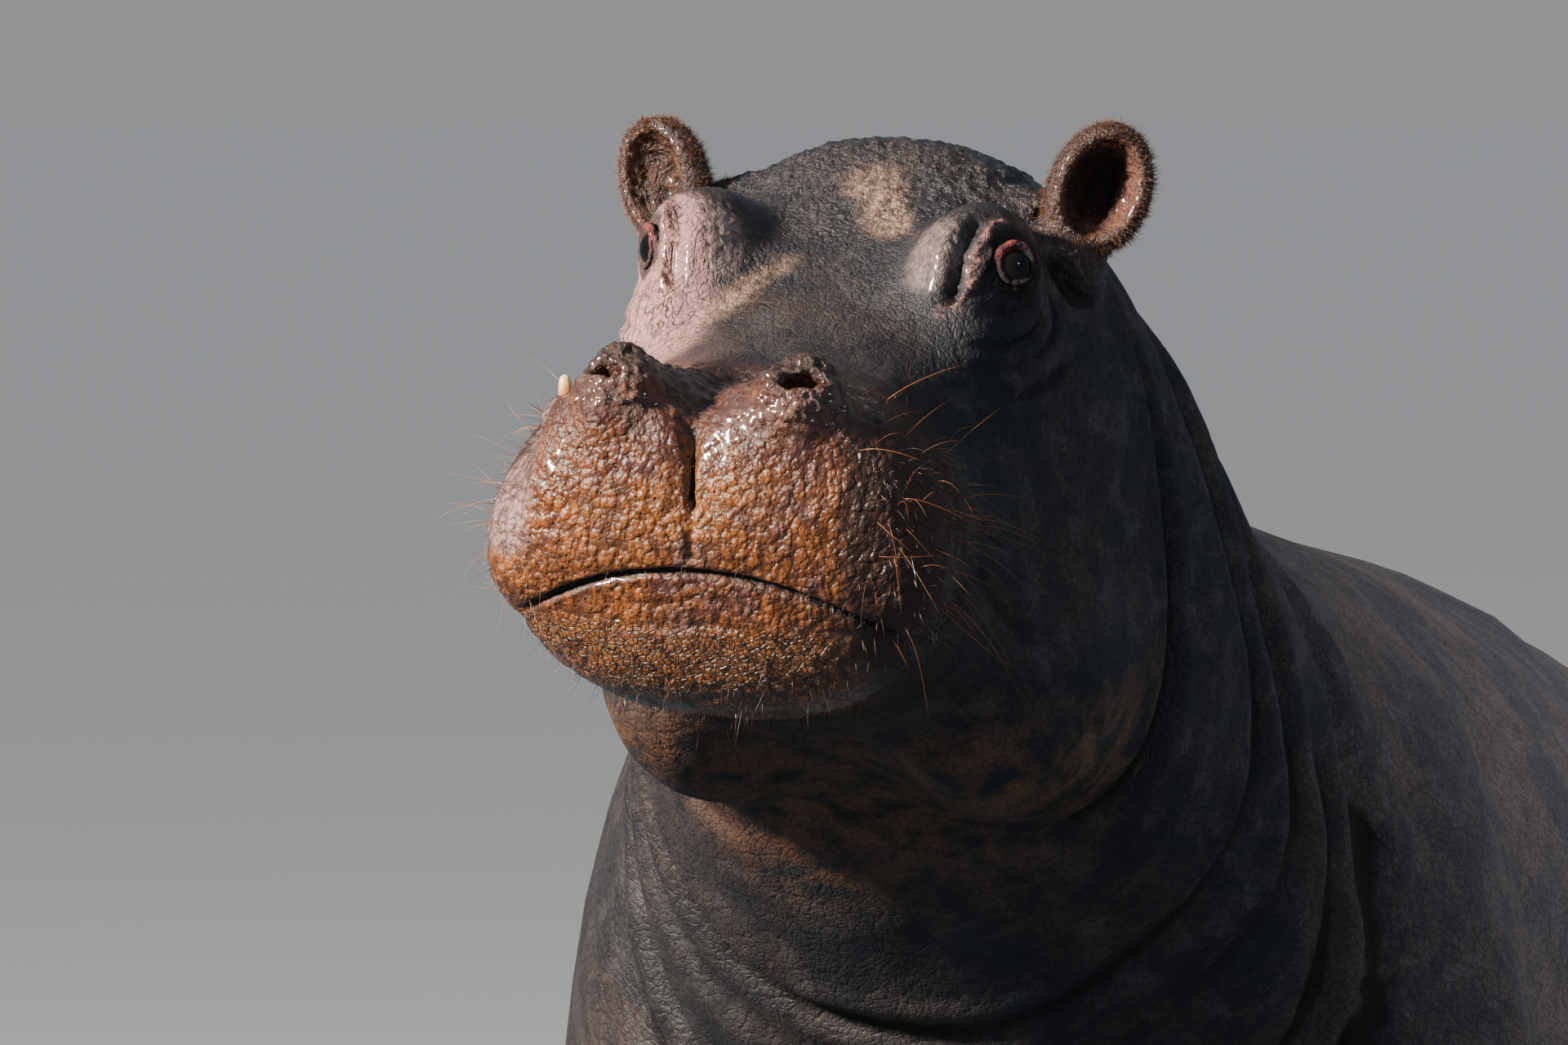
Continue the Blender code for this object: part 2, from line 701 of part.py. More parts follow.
class Animal:
    """Gathers the pieces and their cutters under one empty."""

    def __init__(self, flesh):
        self.flesh = flesh
        self.pieces = bpy.data.collections.new("hippopotamus")
        self.cutters = bpy.data.collections.new("cutters")
        for collection in (self.pieces, self.cutters):
            bpy.context.scene.collection.children.link(collection)
        corners = np.empty(len(flesh.vertices) * 3, np.float32)
        flesh.vertices.foreach_get("co", corners)
        corners = corners.reshape(-1, 3)
        middle = (corners.min(axis=0) + corners.max(axis=0)) / 2
        self.root = bpy.data.objects.new("stance", None)
        self.root.location = (-middle[0], -middle[1], 0)
        self.pieces.objects.link(self.root)

    def cutter(self, mesh):
        thing = link(mesh.name, mesh, self.cutters)
        thing.parent = self.root
        thing.hide_render = True
        thing.display_type = "WIRE"
        return thing

    def piece(self, name, mesh, colour, roughness):
        painted(mesh, name, colour, roughness)
        thing = link(name, mesh, self.pieces)
        thing.parent = self.root
        return thing

    def flesh_piece(self, name, keep, remove, colour=(0.10, 0.075, 0.070)):
        """The flesh that lies in every cutter of keep and in none of remove."""
        thing = self.piece(name, self.flesh.copy(), colour, 0.45)
        for operation, cutters in (("INTERSECT", keep), ("DIFFERENCE", remove)):
            for cutter in cutters:
                boolean = thing.modifiers.new(cutter.name, "BOOLEAN")
                boolean.operation = operation
                boolean.object = cutter
        return thing


def part_flesh(animal):
    cutter = animal.cutter
    heads = [cutter(head_room(0)), cutter(head_room(GAP))]
    necks = [cutter(neck_room(0)), cutter(neck_room(GAP))]
    jaws = [cutter(jaw_room(0)), cutter(jaw_room(GAP))]
    tails = [cutter(tail_room(0)), cutter(tail_room(GAP))]
    from_head = [jaws[1], cutter(tusk(GAP))]
    from_trunk = [necks[1], tails[1]]
    for side, sign in SIDES.items():
        ears = [cutter(ear_room(sign, 0)), cutter(ear_room(sign, GAP))]
        animal.flesh_piece(f"ear_{side}", [ears[0]], [], (0.16, 0.08, 0.06))
        from_head += [ears[1], cutter(eye(sign, GAP))]
        for kind in LEGS:
            rooms = [cutter(leg_room(kind, side, 0)), cutter(leg_room(kind, side, GAP))]
            nails = [cutter(nail(toe, GAP)) for toe in toe_frames(kind, side)]
            animal.flesh_piece(f"{kind}leg_{side}", [rooms[0]], nails)
            from_trunk.append(rooms[1])
    above = cutter(block("above", Matrix.Identity(4), (-1, -0.5, BELLY), (1, 4.5, 2.2)))
    animal.flesh_piece("head", [heads[0]], from_head)
    animal.flesh_piece("lower_jaw", [heads[0], jaws[0]], [], (0.17, 0.08, 0.05))
    animal.flesh_piece("neck", [necks[0]], [heads[1]])
    animal.flesh_piece("trunk", [above], from_trunk)
    animal.flesh_piece("tail", [tails[0]], [])


def add_hard_pieces(animal):
    animal.piece("tusk_right", tusk(), (0.80, 0.62, 0.32), 0.30)
    for side, sign in SIDES.items():
        animal.piece(f"eye_{side}", eye(sign), (0.035, 0.018, 0.012), 0.05)
        for kind in LEGS:
            for number, toe in enumerate(toe_frames(kind, side), 1):
                animal.piece(f"nail_{kind}_{side}_{number}", nail(toe), (0.09, 0.08, 0.07), 0.5)


def build():
    for thing in list(bpy.data.objects):
        bpy.data.objects.remove(thing)
    animal = Animal(make_flesh())
    part_flesh(animal)
    add_hard_pieces(animal)


build()
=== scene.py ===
"""The looks of a life-size common hippopotamus: its skin, eyes, tusk, nails and bristles.

Metres, +Z up. The animal faces -Y, so its left side is +X. Places on the head are given in the
head's own frame (left, back, up), which starts at the middle of the lips. Places on the body are
given in the stance frame (left, back from the lips, height above the floor).
"""

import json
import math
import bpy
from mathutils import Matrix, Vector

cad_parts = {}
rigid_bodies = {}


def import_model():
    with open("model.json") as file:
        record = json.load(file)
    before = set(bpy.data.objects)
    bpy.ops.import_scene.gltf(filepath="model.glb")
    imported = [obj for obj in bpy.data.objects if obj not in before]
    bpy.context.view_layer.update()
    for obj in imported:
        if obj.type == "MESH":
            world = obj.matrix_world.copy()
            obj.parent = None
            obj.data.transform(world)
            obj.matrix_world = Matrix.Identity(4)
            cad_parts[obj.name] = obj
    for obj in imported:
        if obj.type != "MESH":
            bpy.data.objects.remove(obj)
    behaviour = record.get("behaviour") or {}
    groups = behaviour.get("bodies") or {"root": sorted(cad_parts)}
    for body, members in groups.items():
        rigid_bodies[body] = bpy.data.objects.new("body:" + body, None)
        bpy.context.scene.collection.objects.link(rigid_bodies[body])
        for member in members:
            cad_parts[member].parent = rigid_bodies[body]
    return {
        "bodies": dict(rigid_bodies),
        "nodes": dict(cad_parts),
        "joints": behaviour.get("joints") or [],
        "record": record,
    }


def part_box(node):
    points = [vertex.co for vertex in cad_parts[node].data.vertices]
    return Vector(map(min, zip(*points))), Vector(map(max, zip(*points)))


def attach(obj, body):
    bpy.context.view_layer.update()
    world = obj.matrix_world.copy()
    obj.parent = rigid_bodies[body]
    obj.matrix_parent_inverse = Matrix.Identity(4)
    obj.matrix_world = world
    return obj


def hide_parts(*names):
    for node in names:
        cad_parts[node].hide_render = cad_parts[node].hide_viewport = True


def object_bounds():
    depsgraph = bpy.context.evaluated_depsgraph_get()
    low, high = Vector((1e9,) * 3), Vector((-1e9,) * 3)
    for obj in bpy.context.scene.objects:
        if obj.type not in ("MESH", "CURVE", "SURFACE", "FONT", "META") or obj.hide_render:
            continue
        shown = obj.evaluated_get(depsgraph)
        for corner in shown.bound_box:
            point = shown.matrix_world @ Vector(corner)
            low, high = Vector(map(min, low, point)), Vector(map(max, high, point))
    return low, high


bl_info = {
    "name": "Hippopotamus",
    "version": (1, 0, 0),
    "blender": (4, 5, 0),
    "location": "3D View > Sidebar > Hippo",
    "description": "Dresses a life-size hippopotamus in skin, eyes, ivory, horn and bristles",
    "category": "Object",
}

import bmesh
import bpy
import numpy as np
from bpy.props import FloatProperty, FloatVectorProperty, IntProperty, PointerProperty
from bpy.types import Operator, Panel, PropertyGroup
from mathutils import Euler, Matrix, Vector, noise

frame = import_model()
CAD_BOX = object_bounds()

SIDES = {"left": 1, "right": -1}
LEGS = [f"{kind}leg_{side}" for kind in ("fore", "hind") for side in SIDES]
FLESH = ["head", "lower_jaw", "neck", "trunk", "tail", "ear_left", "ear_right", *LEGS]

# Seats in the head's frame, left side and right side, measured outwards.
EYE_SEATS = {1: (0.19, 0.455, 0.229), -1: (0.175, 0.455, 0.227)}
EAR_SEATS = {1: (0.234, 0.622, 0.28), -1: (0.232, 0.622, 0.262)}
# Which way each eye looks, measured outwards.
GAZE = {1: (0.52, -0.78, 0.34), -1: (0.78, -0.6, 0.16)}
EYE_OPENING = 33.5  # degrees from the gaze to the lids' edge
EAR_TURN = (math.radians(-4), math.radians(20), math.radians(16))
EAR_SIZE = (0.052, 0.034, 0.073)  # half width, depth and height of an ear
NAIL_CIRCLE = 0.151  # nails from the foot's middle
NAIL_MEAN = 0.745  # how far forward their mean lies, as a share of that
UPRIGHT = Matrix.Rotation(math.radians(90), 4, "X")  # turns a frame's Y axis up
NOISE_SEED = 5  # noise_vector differs from run to run without one
PULL = 0.62  # how far smoothing moves a point in, and back out where it keeps the size
PUSH = 0.64
ROOT_DEPTH = 0.002  # how far under the skin a bristle starts
PATCH = 0.003  # width of a bristle's patch on its map


# ---------------------------------------------------------------- sizes and colours


def colour(name, text, default):
    return FloatVectorProperty(
        name=name, description=text, default=default, subtype="COLOR", size=3, min=0, max=1
    )


def length(name, text, default):
    return FloatProperty(name=name, description=text, default=default, unit="LENGTH", precision=4)


def angle(name, text, degrees):
    return FloatProperty(
        name=name, description=text, default=math.radians(degrees), subtype="ANGLE"
    )


class HIPPO_PG_head(PropertyGroup):
    """How the head is held."""

    pitch: angle("Pitch", "Nose down", 9.3)
    roll: angle("Roll", "Left side down", 2.9)
    yaw: angle("Yaw", "Muzzle towards the animal's left", -5.6)
    eye_radius: length("Eye radius", "Radius of the eyeball", 0.027)


class HIPPO_PG_skin(PropertyGroup):
    """Fineness and colours of the hide."""

    voxel: length("Voxel", "Spacing of the skin's points on the head", 0.007)
    body_triangles: IntProperty(
        name="Body triangles", description="Triangles behind the neck", default=34000
    )
    slate: colour("Slate", "Wet hide on the flanks and the top of the head", (0.0105, 0.0105, 0.0145))
    flank: colour("Flank", "Hide behind the neck", (0.034, 0.029, 0.03))
    umber: colour("Umber", "Browner hide mottled into the slate", (0.031, 0.021, 0.019))
    rust: colour("Rust", "Muzzle and lips", (0.185, 0.058, 0.012))
    russet: colour("Russet", "Deeper patches of the muzzle", (0.056, 0.016, 0.006))
    plum: colour("Plum", "Upper muzzle and nostril mounds", (0.066, 0.026, 0.022))
    ochre: colour("Ochre", "Lower lip and chin", (0.165, 0.068, 0.019))
    pink: colour("Pink", "Bare skin round the eyes and on the cheek", (0.3, 0.158, 0.14))
    tan: colour("Tan", "Sandy patches on forehead and snout", (0.43, 0.265, 0.18))
    blood: colour("Flesh red", "Inside of lids and nostrils", (0.28, 0.034, 0.036))


class HIPPO_PG_bristles(PropertyGroup):
    """How many bristles there are, and their colours."""

    muzzle: IntProperty(name="Muzzle", description="Short bristles on the muzzle", default=650)
    whiskers: IntProperty(name="Whiskers", description="Long curved whiskers a side", default=60)
    stubs: IntProperty(name="Stubs", description="Short pale bristles at the sides", default=260)
    ear: IntProperty(name="Ear", description="Hairs on each ear", default=4200)
    tail: IntProperty(name="Tail", description="Bristles on the tail", default=420)
    dark: colour("Dark", "Stiff short bristles", (0.02, 0.012, 0.009))
    red: colour("Red", "Whiskers and ear fringe", (0.26, 0.075, 0.028))


class HIPPO_PG_stage(PropertyGroup):
    """Where the camera stands, and the light."""

    azimuth: angle("Azimuth", "Camera's turn from straight ahead to the animal's left", 12)
    elevation: angle("Elevation", "Camera's height as an angle", 2.5)
    distance: length("Distance", "Camera to the middle of the view", 12.0)
    lens: FloatProperty(name="Lens", description="Focal length in millimetres", default=281.25)
    aim_right: length("Aim right", "Middle of the view, right of the mouth", 0.092)
    aim_up: length("Aim up", "Middle of the view, above the mouth", 0.048)
    floor: length("Floor", "Radius of the floor", 160.0)
    key: FloatProperty(name="Key", description="Power of the main light in watts", default=1700)


# ---------------------------------------------------------------- places


def middle(node):
    low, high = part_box(node)
    return (low + high) / 2


def head_frame():
    """The head's own frame, seated on the two eyeballs."""
    held = bpy.context.scene.hippo_head
    turn = Euler((held.pitch, held.roll, held.yaw), "XYZ").to_matrix()
    seats = [Vector((sign * x, y, z)) for sign, (x, y, z) in EYE_SEATS.items()]
    eyes = (middle("eye_left") + middle("eye_right")) / 2
    lips = eyes - turn @ ((seats[0] + seats[1]) / 2)
    return Matrix.Translation(lips) @ turn.to_4x4()


def stance_frame():
    """Stands on the floor under the lips, square to the body."""
    return Matrix.Translation((0, head_frame().translation.y, 0))


def on_side(sign, place):
    x, y, z = place
    return head_frame() @ Matrix.Translation((sign * x, y, z))


def nails_of(leg):
    """The names of a foot's four nail nodes."""
    return [f"nail_{leg.replace('leg', '')}_{number}" for number in (1, 2, 3, 4)]


def foot_middle(leg):
    """The middle of the circle that a foot's nails stand on."""
    hub = sum((middle(nail) for nail in nails_of(leg)), Vector()) / 4
    return hub + Vector((0, NAIL_MEAN * NAIL_CIRCLE, 0))


def ear_frame(sign):
    """Up along the ear, its opening towards -Y."""
    back, out, turn = EAR_TURN
    tilt = Euler((back, sign * out, sign * turn), "XYZ").to_matrix().to_4x4()
    return on_side(sign, EAR_SEATS[sign]) @ tilt


def eye_frame(sign):
    """At the eyeball's middle: X along the gaze, Z up."""
    x, y, z = GAZE[sign]
    gaze = Vector((sign * x, y, z)).normalized()
    across = Vector((0, 0, 1)).cross(gaze).normalized()
    up = gaze.cross(across)
    turn = Matrix((gaze, across, up)).transposed().to_4x4()
    return on_side(sign, EYE_SEATS[sign]) @ turn


def seen_from(frame, points):
    """The points as places in the frame."""
    local = np.array(frame.inverted())
    return points @ local[:3, :3].T + local[:3, 3]


def placed_in(frame, places):
    """Places in the frame as points of the scene."""
    world = np.array(frame)
    return places @ world[:3, :3].T + world[:3, 3]


def on_head(places, sign=1):
    """Points of the scene from places in the head's frame, on either side of it."""
    head = head_frame()
    return [head @ Vector((sign * x, y, z)) for x, y, z in places]


def column(things, name, width=3, kind=np.float32):
    """One value of every vertex, edge or corner, as rows."""
    values = np.empty(len(things) * width, kind)
    things.foreach_get(name, values)
    return values.reshape(-1, width)


def mouth_level(x, y):
    """Height of the line between the lips, in the head's frame."""
    return -0.066 * (abs(x) / 0.19) ** 2.2 + 0.05 * max(0.0, y - 0.15)


def ramp(values, start, end):
    """0 up to start, 1 from end on, smooth between."""
    t = np.clip((values - start) / (end - start), 0, 1)
    return t * t * (3 - 2 * t)


def hill(gap, width):
    return np.exp(-((gap / width) ** 2))


def smooth_path(points, steps=8):
    """A Catmull-Rom curve through the points."""
    points = [Vector(p) for p in points]
    padded = [points[0], *points, points[-1]]
    path = []
    for a, b, c, d in zip(padded, padded[1:], padded[2:], padded[3:]):
        for step in range(steps):
            u = step / steps
            bend = (2 * a - 5 * b + 4 * c - d) * u * u + (3 * b - a - 3 * c + d) * u**3
            path.append(0.5 * (2 * b + (c - a) * u + bend))
    return [*path, points[-1]]


# ---------------------------------------------------------------- skin


class Clay:
    """A dense mesh that strokes move about."""

    def __init__(self, mesh):
        self.mesh = mesh
        self.points = column(mesh.vertices, "co").astype(float)
        ends = column(mesh.edges, "vertices", 2, np.int32)
        self.a, self.b = ends.T
        self.count = np.bincount(ends.ravel(), minlength=len(self.points))[:, None]

    def seen_from(self, frame):
        return seen_from(frame, self.points)

    def around(self, values):
        """The mean of each point's neighbours."""
        n = len(self.points)
        total = np.empty_like(values)
        for axis in range(values.shape[1]):
            c = values[:, axis]
            total[:, axis] = np.bincount(self.a, c[self.b], n) + np.bincount(self.b, c[self.a], n)
        return total / self.count

    def soften(self, rounds, where=1.0, keep_size=False):
        """Points move towards their neighbours' middle; keep_size pushes them back out in turn."""
        share = where if np.isscalar(where) else where[:, None]
        for _ in range(rounds):
            self.points += share * PULL * (self.around(self.points) - self.points)
            if keep_size:
                self.points -= share * PUSH * (self.around(self.points) - self.points)

    def store(self):
        self.mesh.vertices.foreach_set("co", self.points.astype(np.float32).ravel())
        self.mesh.update()

    def normals(self):
        self.store()
        return column(self.mesh.vertices, "normal").astype(float)

    def near(self, frame, radii):
        """1 at the frame's origin, fading to 0 at these radii from it."""
        squared = ((self.seen_from(frame) / np.array(radii)) ** 2).sum(axis=1)
        return np.clip(1 - squared, 0, 1) ** 2

    def swell(self, frame, radii, height):
        self.points += self.normals() * (height * self.near(frame, radii))[:, None]

    def sink(self, frame, half, depth, rim):
        """A steep-walled oval pit along the frame's -Z, with a rolled rim."""
        x, y, z = self.seen_from(frame).T
        spread = np.hypot(x / half[0], y / half[1])
        height = rim * hill(spread - 1.35, 0.3) - depth * np.sqrt(np.clip(1 - spread**2, 0, 1))
        height *= ramp(np.abs(z), 0.04, 0.025)
        self.points += np.array(frame.to_3x3().col[2]) * height[:, None]

    def laid_on(self, path, normals):
        """The path's points moved onto the surface."""
        laid = []
        for point in path:
            point = np.array(point)
            nearest = int(((self.points - point) ** 2).sum(axis=1).argmin())
            normal = normals[nearest]
            laid.append(point - normal * ((point - self.points[nearest]) @ normal))
        return laid

    def along(self, path, reach):
        """Rows of the points near a path, how far off it they are and how far along it."""
        low = np.min(path, axis=0) - reach
        high = np.max(path, axis=0) + reach
        rows = np.nonzero(((self.points > low) & (self.points < high)).all(axis=1))[0]
        points = self.points[rows]
        gap = np.full(len(rows), np.inf)
        run_share = np.zeros(len(rows))
        for step, (start, end) in enumerate(zip(path, path[1:])):
            run = end - start
            share = np.clip((points - start) @ run / max(run @ run, 1e-12), 0, 1)
            off = np.linalg.norm(points - start - share[:, None] * run, axis=1)
            closer = off < gap
            gap = np.where(closer, off, gap)
            run_share = np.where(closer, (step + share) / (len(path) - 1), run_share)
        return rows, gap, run_share

    def stroke(self, path, width, depth, lip=0.0, taper=0.25):
        """A groove along a path that fades out at its ends, with a raised lip on each side.

        A depth under 0 makes a ridge.
        """
        normals = self.normals()
        path = self.laid_on(smooth_path(path), normals)
        rows, gap, share = self.along(path, 4 * width)
        fade = ramp(np.minimum(share, 1 - share), -1e-6, taper)
        height = lip * hill(gap - 1.9 * width, width) - depth * hill(gap, width)
        self.points[rows] += normals[rows] * (height * fade)[:, None]

    def painted(self, path, width):
        """1 on a path laid on the surface, fading to the sides."""
        rows, gap, _ = self.along(self.laid_on(smooth_path(path), self.normals()), 3 * width)
        values = np.zeros(len(self.points))
        values[rows] = hill(gap, width)
        return values

    def fit(self, frame, reach, form, where):
        """Moves the points within reach of the frame onto a form given as a distance function."""
        local = self.seen_from(frame)
        rows = np.nonzero(np.linalg.norm(local, axis=1) < reach)[0]
        local = local[rows]
        start = local.copy()
        tiny = 0.0004
        for _ in range(5):
            off = form(local)
            slope = np.stack(
                [form(local + tiny * step) - form(local - tiny * step) for step in np.eye(3)], axis=1
            )
            slope /= 2 * tiny
            slope /= np.maximum((slope**2).sum(axis=1), 0.2)[:, None]
            local = local - 0.8 * off[:, None] * slope
        local = start + (local - start) * where(start)[:, None]
        self.points[rows] = placed_in(frame, local)


def evaluated(thing):
    """The object's mesh with its modifiers applied; the object goes."""
    graph = bpy.context.evaluated_depsgraph_get()
    mesh = bpy.data.meshes.new_from_object(thing.evaluated_get(graph))
    bpy.data.objects.remove(thing)
    return mesh


def mesh_of(name, bm):
    """A mesh of the bmesh, which goes."""
    mesh = bpy.data.meshes.new(name)
    bm.to_mesh(mesh)
    bm.free()
    return mesh


def link(name, mesh):
    thing = bpy.data.objects.new(name, mesh)
    bpy.context.scene.collection.objects.link(thing)
    return thing


def add_swollen(bm, node, grow):
    """Adds a CAD node's shape to bm, with its loose triangles merged and grown a little."""
    part = bmesh.new()
    part.from_mesh(frame["nodes"][node].data)
    bmesh.ops.remove_doubles(part, verts=part.verts, dist=1e-5)
    part.normal_update()
    for vert in part.verts:
        vert.co += vert.normal * grow
    mesh = mesh_of("part", part)
    bm.from_mesh(mesh)
    bpy.data.meshes.remove(mesh)


def fused_flesh(voxel):
    """One closed skin round all the flesh, the eyeballs and the gum under the tusk's tip."""
    bm = bmesh.new()
    for node in [*FLESH, "eye_left", "eye_right"]:
        add_swollen(bm, node, 0.001)
    gum = on_side(-1, (0.167, 0.112, 0.125))
    bmesh.ops.create_icosphere(bm, subdivisions=3, radius=0.026, matrix=gum)
    thing = link("flesh", mesh_of("flesh", bm))
    remesh = thing.modifiers.new("fuse", "REMESH")
    remesh.mode = "VOXEL"
    remesh.voxel_size = voxel
    return evaluated(thing)


def thinned(clay, body_triangles):
    """The head keeps every point; the body is thinned."""
    weight = ramp(body_back(clay), 0.92, 1.25)
    thing = link("flesh", clay.mesh)
    group = thing.vertex_groups.new(name="thin")
    steps = np.round(weight * 10).astype(int)
    for step in range(1, 11):
        group.add(np.nonzero(steps == step)[0].tolist(), step / 10, "REPLACE")
    group.add(np.nonzero(steps == 0)[0].tolist(), 0.0, "REPLACE")
    kept = 2 * len(clay.mesh.polygons) * (steps == 0).mean()
    thin = thing.modifiers.new("thin", "DECIMATE")
    thin.ratio = (kept + body_triangles) / (2 * len(clay.mesh.polygons))
    thin.vertex_group = group.name
    thin.vertex_group_factor = 1.0
    return evaluated(thing)


def refine(mesh, inside):
    """Halves every edge whose ends are both inside."""
    chosen = inside(column(mesh.vertices, "co").astype(float))
    bm = bmesh.new()
    bm.from_mesh(mesh)
    bm.verts.ensure_lookup_table()
    edges = [e for e in bm.edges if chosen[e.verts[0].index] and chosen[e.verts[1].index]]
    bmesh.ops.subdivide_edges(bm, edges=edges, cuts=1, use_grid_fill=True)
    bmesh.ops.triangulate(bm, faces=[f for f in bm.faces if len(f.verts) > 4])
    bm.to_mesh(mesh)
    bm.free()


def ball_zone(seats, radius):
    """A test for points within the radius of the seat on either side of the head."""
    middles = [np.array(on_side(sign, seat).translation) for sign, seat in seats.items()]

    def inside(points):
        found = np.zeros(len(points), bool)
        for spot in middles:
            found |= ((points - spot) ** 2).sum(axis=1) < radius**2
        return found

    return inside


def muzzle_zone(points):
    _, back, up = seen_from(head_frame(), points).T
    return (back < 0.15) & (up > -0.13)


def crown_zone(points):
    side, back, up = seen_from(head_frame(), points).T
    return (back > 0.42) & (back < 0.8) & (up > 0.17) & (np.abs(side) < 0.18)


def body_back(clay):
    return clay.seen_from(stance_frame())[:, 1]


def smooth_flesh(clay):
    """Takes the flat facets out of the fused flesh."""
    _, back, up = clay.seen_from(stance_frame()).T
    body = ramp(back, 0.7, 1.05) * ramp(up, 0.2, 0.42) * ramp(back, 3.4, 3.33)
    clay.soften(8, 1.0)
    clay.soften(26, body, keep_size=True)
    clay.soften(60, body)
    back = clay.seen_from(head_frame())[:, 1]
    ears = np.zeros(len(clay.points))
    for sign in SIDES.values():
        ears = np.maximum(ears, ramp(clay.near(ear_frame(sign), (0.09, 0.09, 0.11)), 0, 0.2))
    head = (1 - ears) * ramp(back, 0.95, 0.8)
    clay.soften(10, head)


def round_eye(clay, sign):
    """Each point's direction and reach from an eyeball, degrees past the lids' edge, above, below."""
    local = clay.seen_from(eye_frame(sign))
    reach = np.linalg.norm(local, axis=1)
    unit = local / np.maximum(reach, 1e-9)[:, None]
    turn = np.arccos(np.clip(unit[:, 0], -1, 1))
    round_gaze = np.arctan2(unit[:, 2], unit[:, 1] * sign)
    upper = np.clip(np.sin(round_gaze), 0, 1)
    lower = np.clip(-np.sin(round_gaze), 0, 1)
    edge = np.radians(EYE_OPENING + 1.5 * upper + 3.0 * lower)
    return local, reach, unit, np.degrees(turn - edge), upper, lower


def form_eyes(clay):
    """Lids that hug the eyeballs, with folds round them."""
    radius = bpy.context.scene.hippo_head.eye_radius
    for sign in SIDES.values():
        local, reach, unit, past, upper, lower = round_eye(clay, sign)
        cup = radius - 0.0045
        rim = radius + 0.003 + 0.0022 * upper
        lid = cup + (rim - cup) * ramp(past, -5.0, 2.5)
        lid += 0.0036 * upper * hill(past - 10, 7) - 0.005 * upper * hill(past - 22, 4)
        lid += 0.0014 * lower * hill(past - 6, 3) - 0.0024 * hill(past - 12, 2.6) * (0.4 + lower)
        lid += 0.0022 * lower * hill(past - 19, 4) - 0.0026 * hill(past - 27, 3) * (0.3 + lower)
        lid += (0.0022 * hill(past - 35, 4) - 0.0026 * hill(past - 44, 3.4)) * (0.2 + lower)
        keep = ramp(past, 6, 44)
        target = lid * (1 - keep) + (reach + (lid - rim)) * keep
        fade = ramp(reach, 0.085, 0.06) * ramp(unit[:, 0], -0.35, 0.05)
        moved = local * (1 + fade * (target / np.maximum(reach, 1e-9) - 1))[:, None]
        rows = fade > 0
        clay.points[rows] = placed_in(eye_frame(sign), moved[rows])


def form_nostrils(clay):
    """A slit on each mound, with a thick roll on its inner side and a thin rim behind it."""
    for sign in SIDES.values():
        clay.swell(on_side(sign, (0.066, 0.046, 0.184)), (0.03, 0.042, 0.034), 0.013)
        clay.swell(on_side(sign, (0.096, 0.078, 0.194)), (0.046, 0.03, 0.03), 0.012)
        clay.swell(on_side(sign, (0.136, 0.048, 0.178)), (0.028, 0.034, 0.026), 0.004)
        out = Vector((0.3 * sign, -0.6, 0.74)).normalized()
        along = Vector((0.88 * sign, 0.46, 0.04))
        along = (along - out * along.dot(out)).normalized()
        turn = Matrix((along, out.cross(along), out)).transposed().to_4x4()
        clay.sink(on_side(sign, (0.101, 0.042, 0.188)) @ turn, (0.0215, 0.0118), 0.03, 0.003)


def oval(points, place, radii):
    """Roughly how far the points are outside an ellipsoid."""
    scaled = (points - np.array(place)) / np.array(radii)
    size = np.linalg.norm(scaled, axis=1)
    return (size - 1) * size / np.maximum(np.linalg.norm(scaled / np.array(radii), axis=1), 1e-6)


def ear_shell(points):
    """A cup with a thick round rim, open towards -Y."""
    outer = oval(points, (0, 0.002, 0.0), EAR_SIZE)
    hollow = -oval(points, (0, -0.03, 0.006), (0.0375, 0.046, 0.056))
    round_rim = 0.009
    blend = np.clip(0.5 - 0.5 * (outer - hollow) / round_rim, 0, 1)
    return hollow * blend + outer * (1 - blend) + round_rim * blend * (1 - blend)


def form_ears(clay):
    """Deep cups with thick rims."""

    def where(points):
        return ramp(points[:, 2], -0.062, -0.035) * ramp(np.linalg.norm(points, axis=1), 0.11, 0.09)

    for sign in SIDES.values():
        place = ear_frame(sign)
        clay.fit(place, 0.11, ear_shell, where)
        for turn in (1, -1):
            fold = ((0.016, -0.006, -0.03), (0.018, 0.01, 0.0), (0.014, 0.012, 0.03))
            path = [place @ Vector((turn * x, y, z)) for x, y, z in fold]
            clay.stroke(path, 0.0045, -0.003, 0, 0.3)


def form_mouth(clay):
    """The line of the lips, the notch under the cleft, the corners and the folds of the chin."""
    line = [
        (x, 0.02 + 0.9 * max(0.0, abs(x) - 0.12) ** 1.4, mouth_level(x, 0))
        for x in np.linspace(-0.215, 0.215, 13)
    ]
    notch = [(-0.001, 0, 0.004), (0, 0, 0.03), (-0.001, 0, 0.056)]
    corner = [
        (0.213, 0.054, -0.086), (0.225, 0.09, -0.095), (0.226, 0.15, -0.096),
        (0.212, 0.22, -0.088), (0.2, 0.3, -0.076), (0.2, 0.37, -0.062),
    ]
    crease = [(0.238, 0.19, 0.1), (0.222, 0.235, 0.03), (0.215, 0.25, -0.04)]
    clay.stroke(on_head(line), 0.0036, 0.0085, 0.0006, 0.1)
    clay.stroke(on_head(notch), 0.005, 0.003, 0.0015)
    for sign in SIDES.values():
        clay.stroke(on_head(corner, sign), 0.0085, 0.0045, 0.0015, 0.25)
        clay.stroke(on_head(corner, sign), 0.0035, 0.0035, 0.0, 0.25)
        clay.stroke(on_head(crease, sign), 0.02, 0.009, 0.003, 0.4)
    for drop, depth in ((0.03, 0.0007), (0.056, 0.001)):
        fold = [
            (x, 0.03, mouth_level(x * 0.9, 0) - drop - 0.02 * (x / 0.15) ** 2 + 0.004 * math.sin(60 * x))
            for x in np.linspace(-0.12, 0.12, 9)
        ]
        clay.stroke(on_head(fold), 0.0045, depth, 0.001, 0.4)


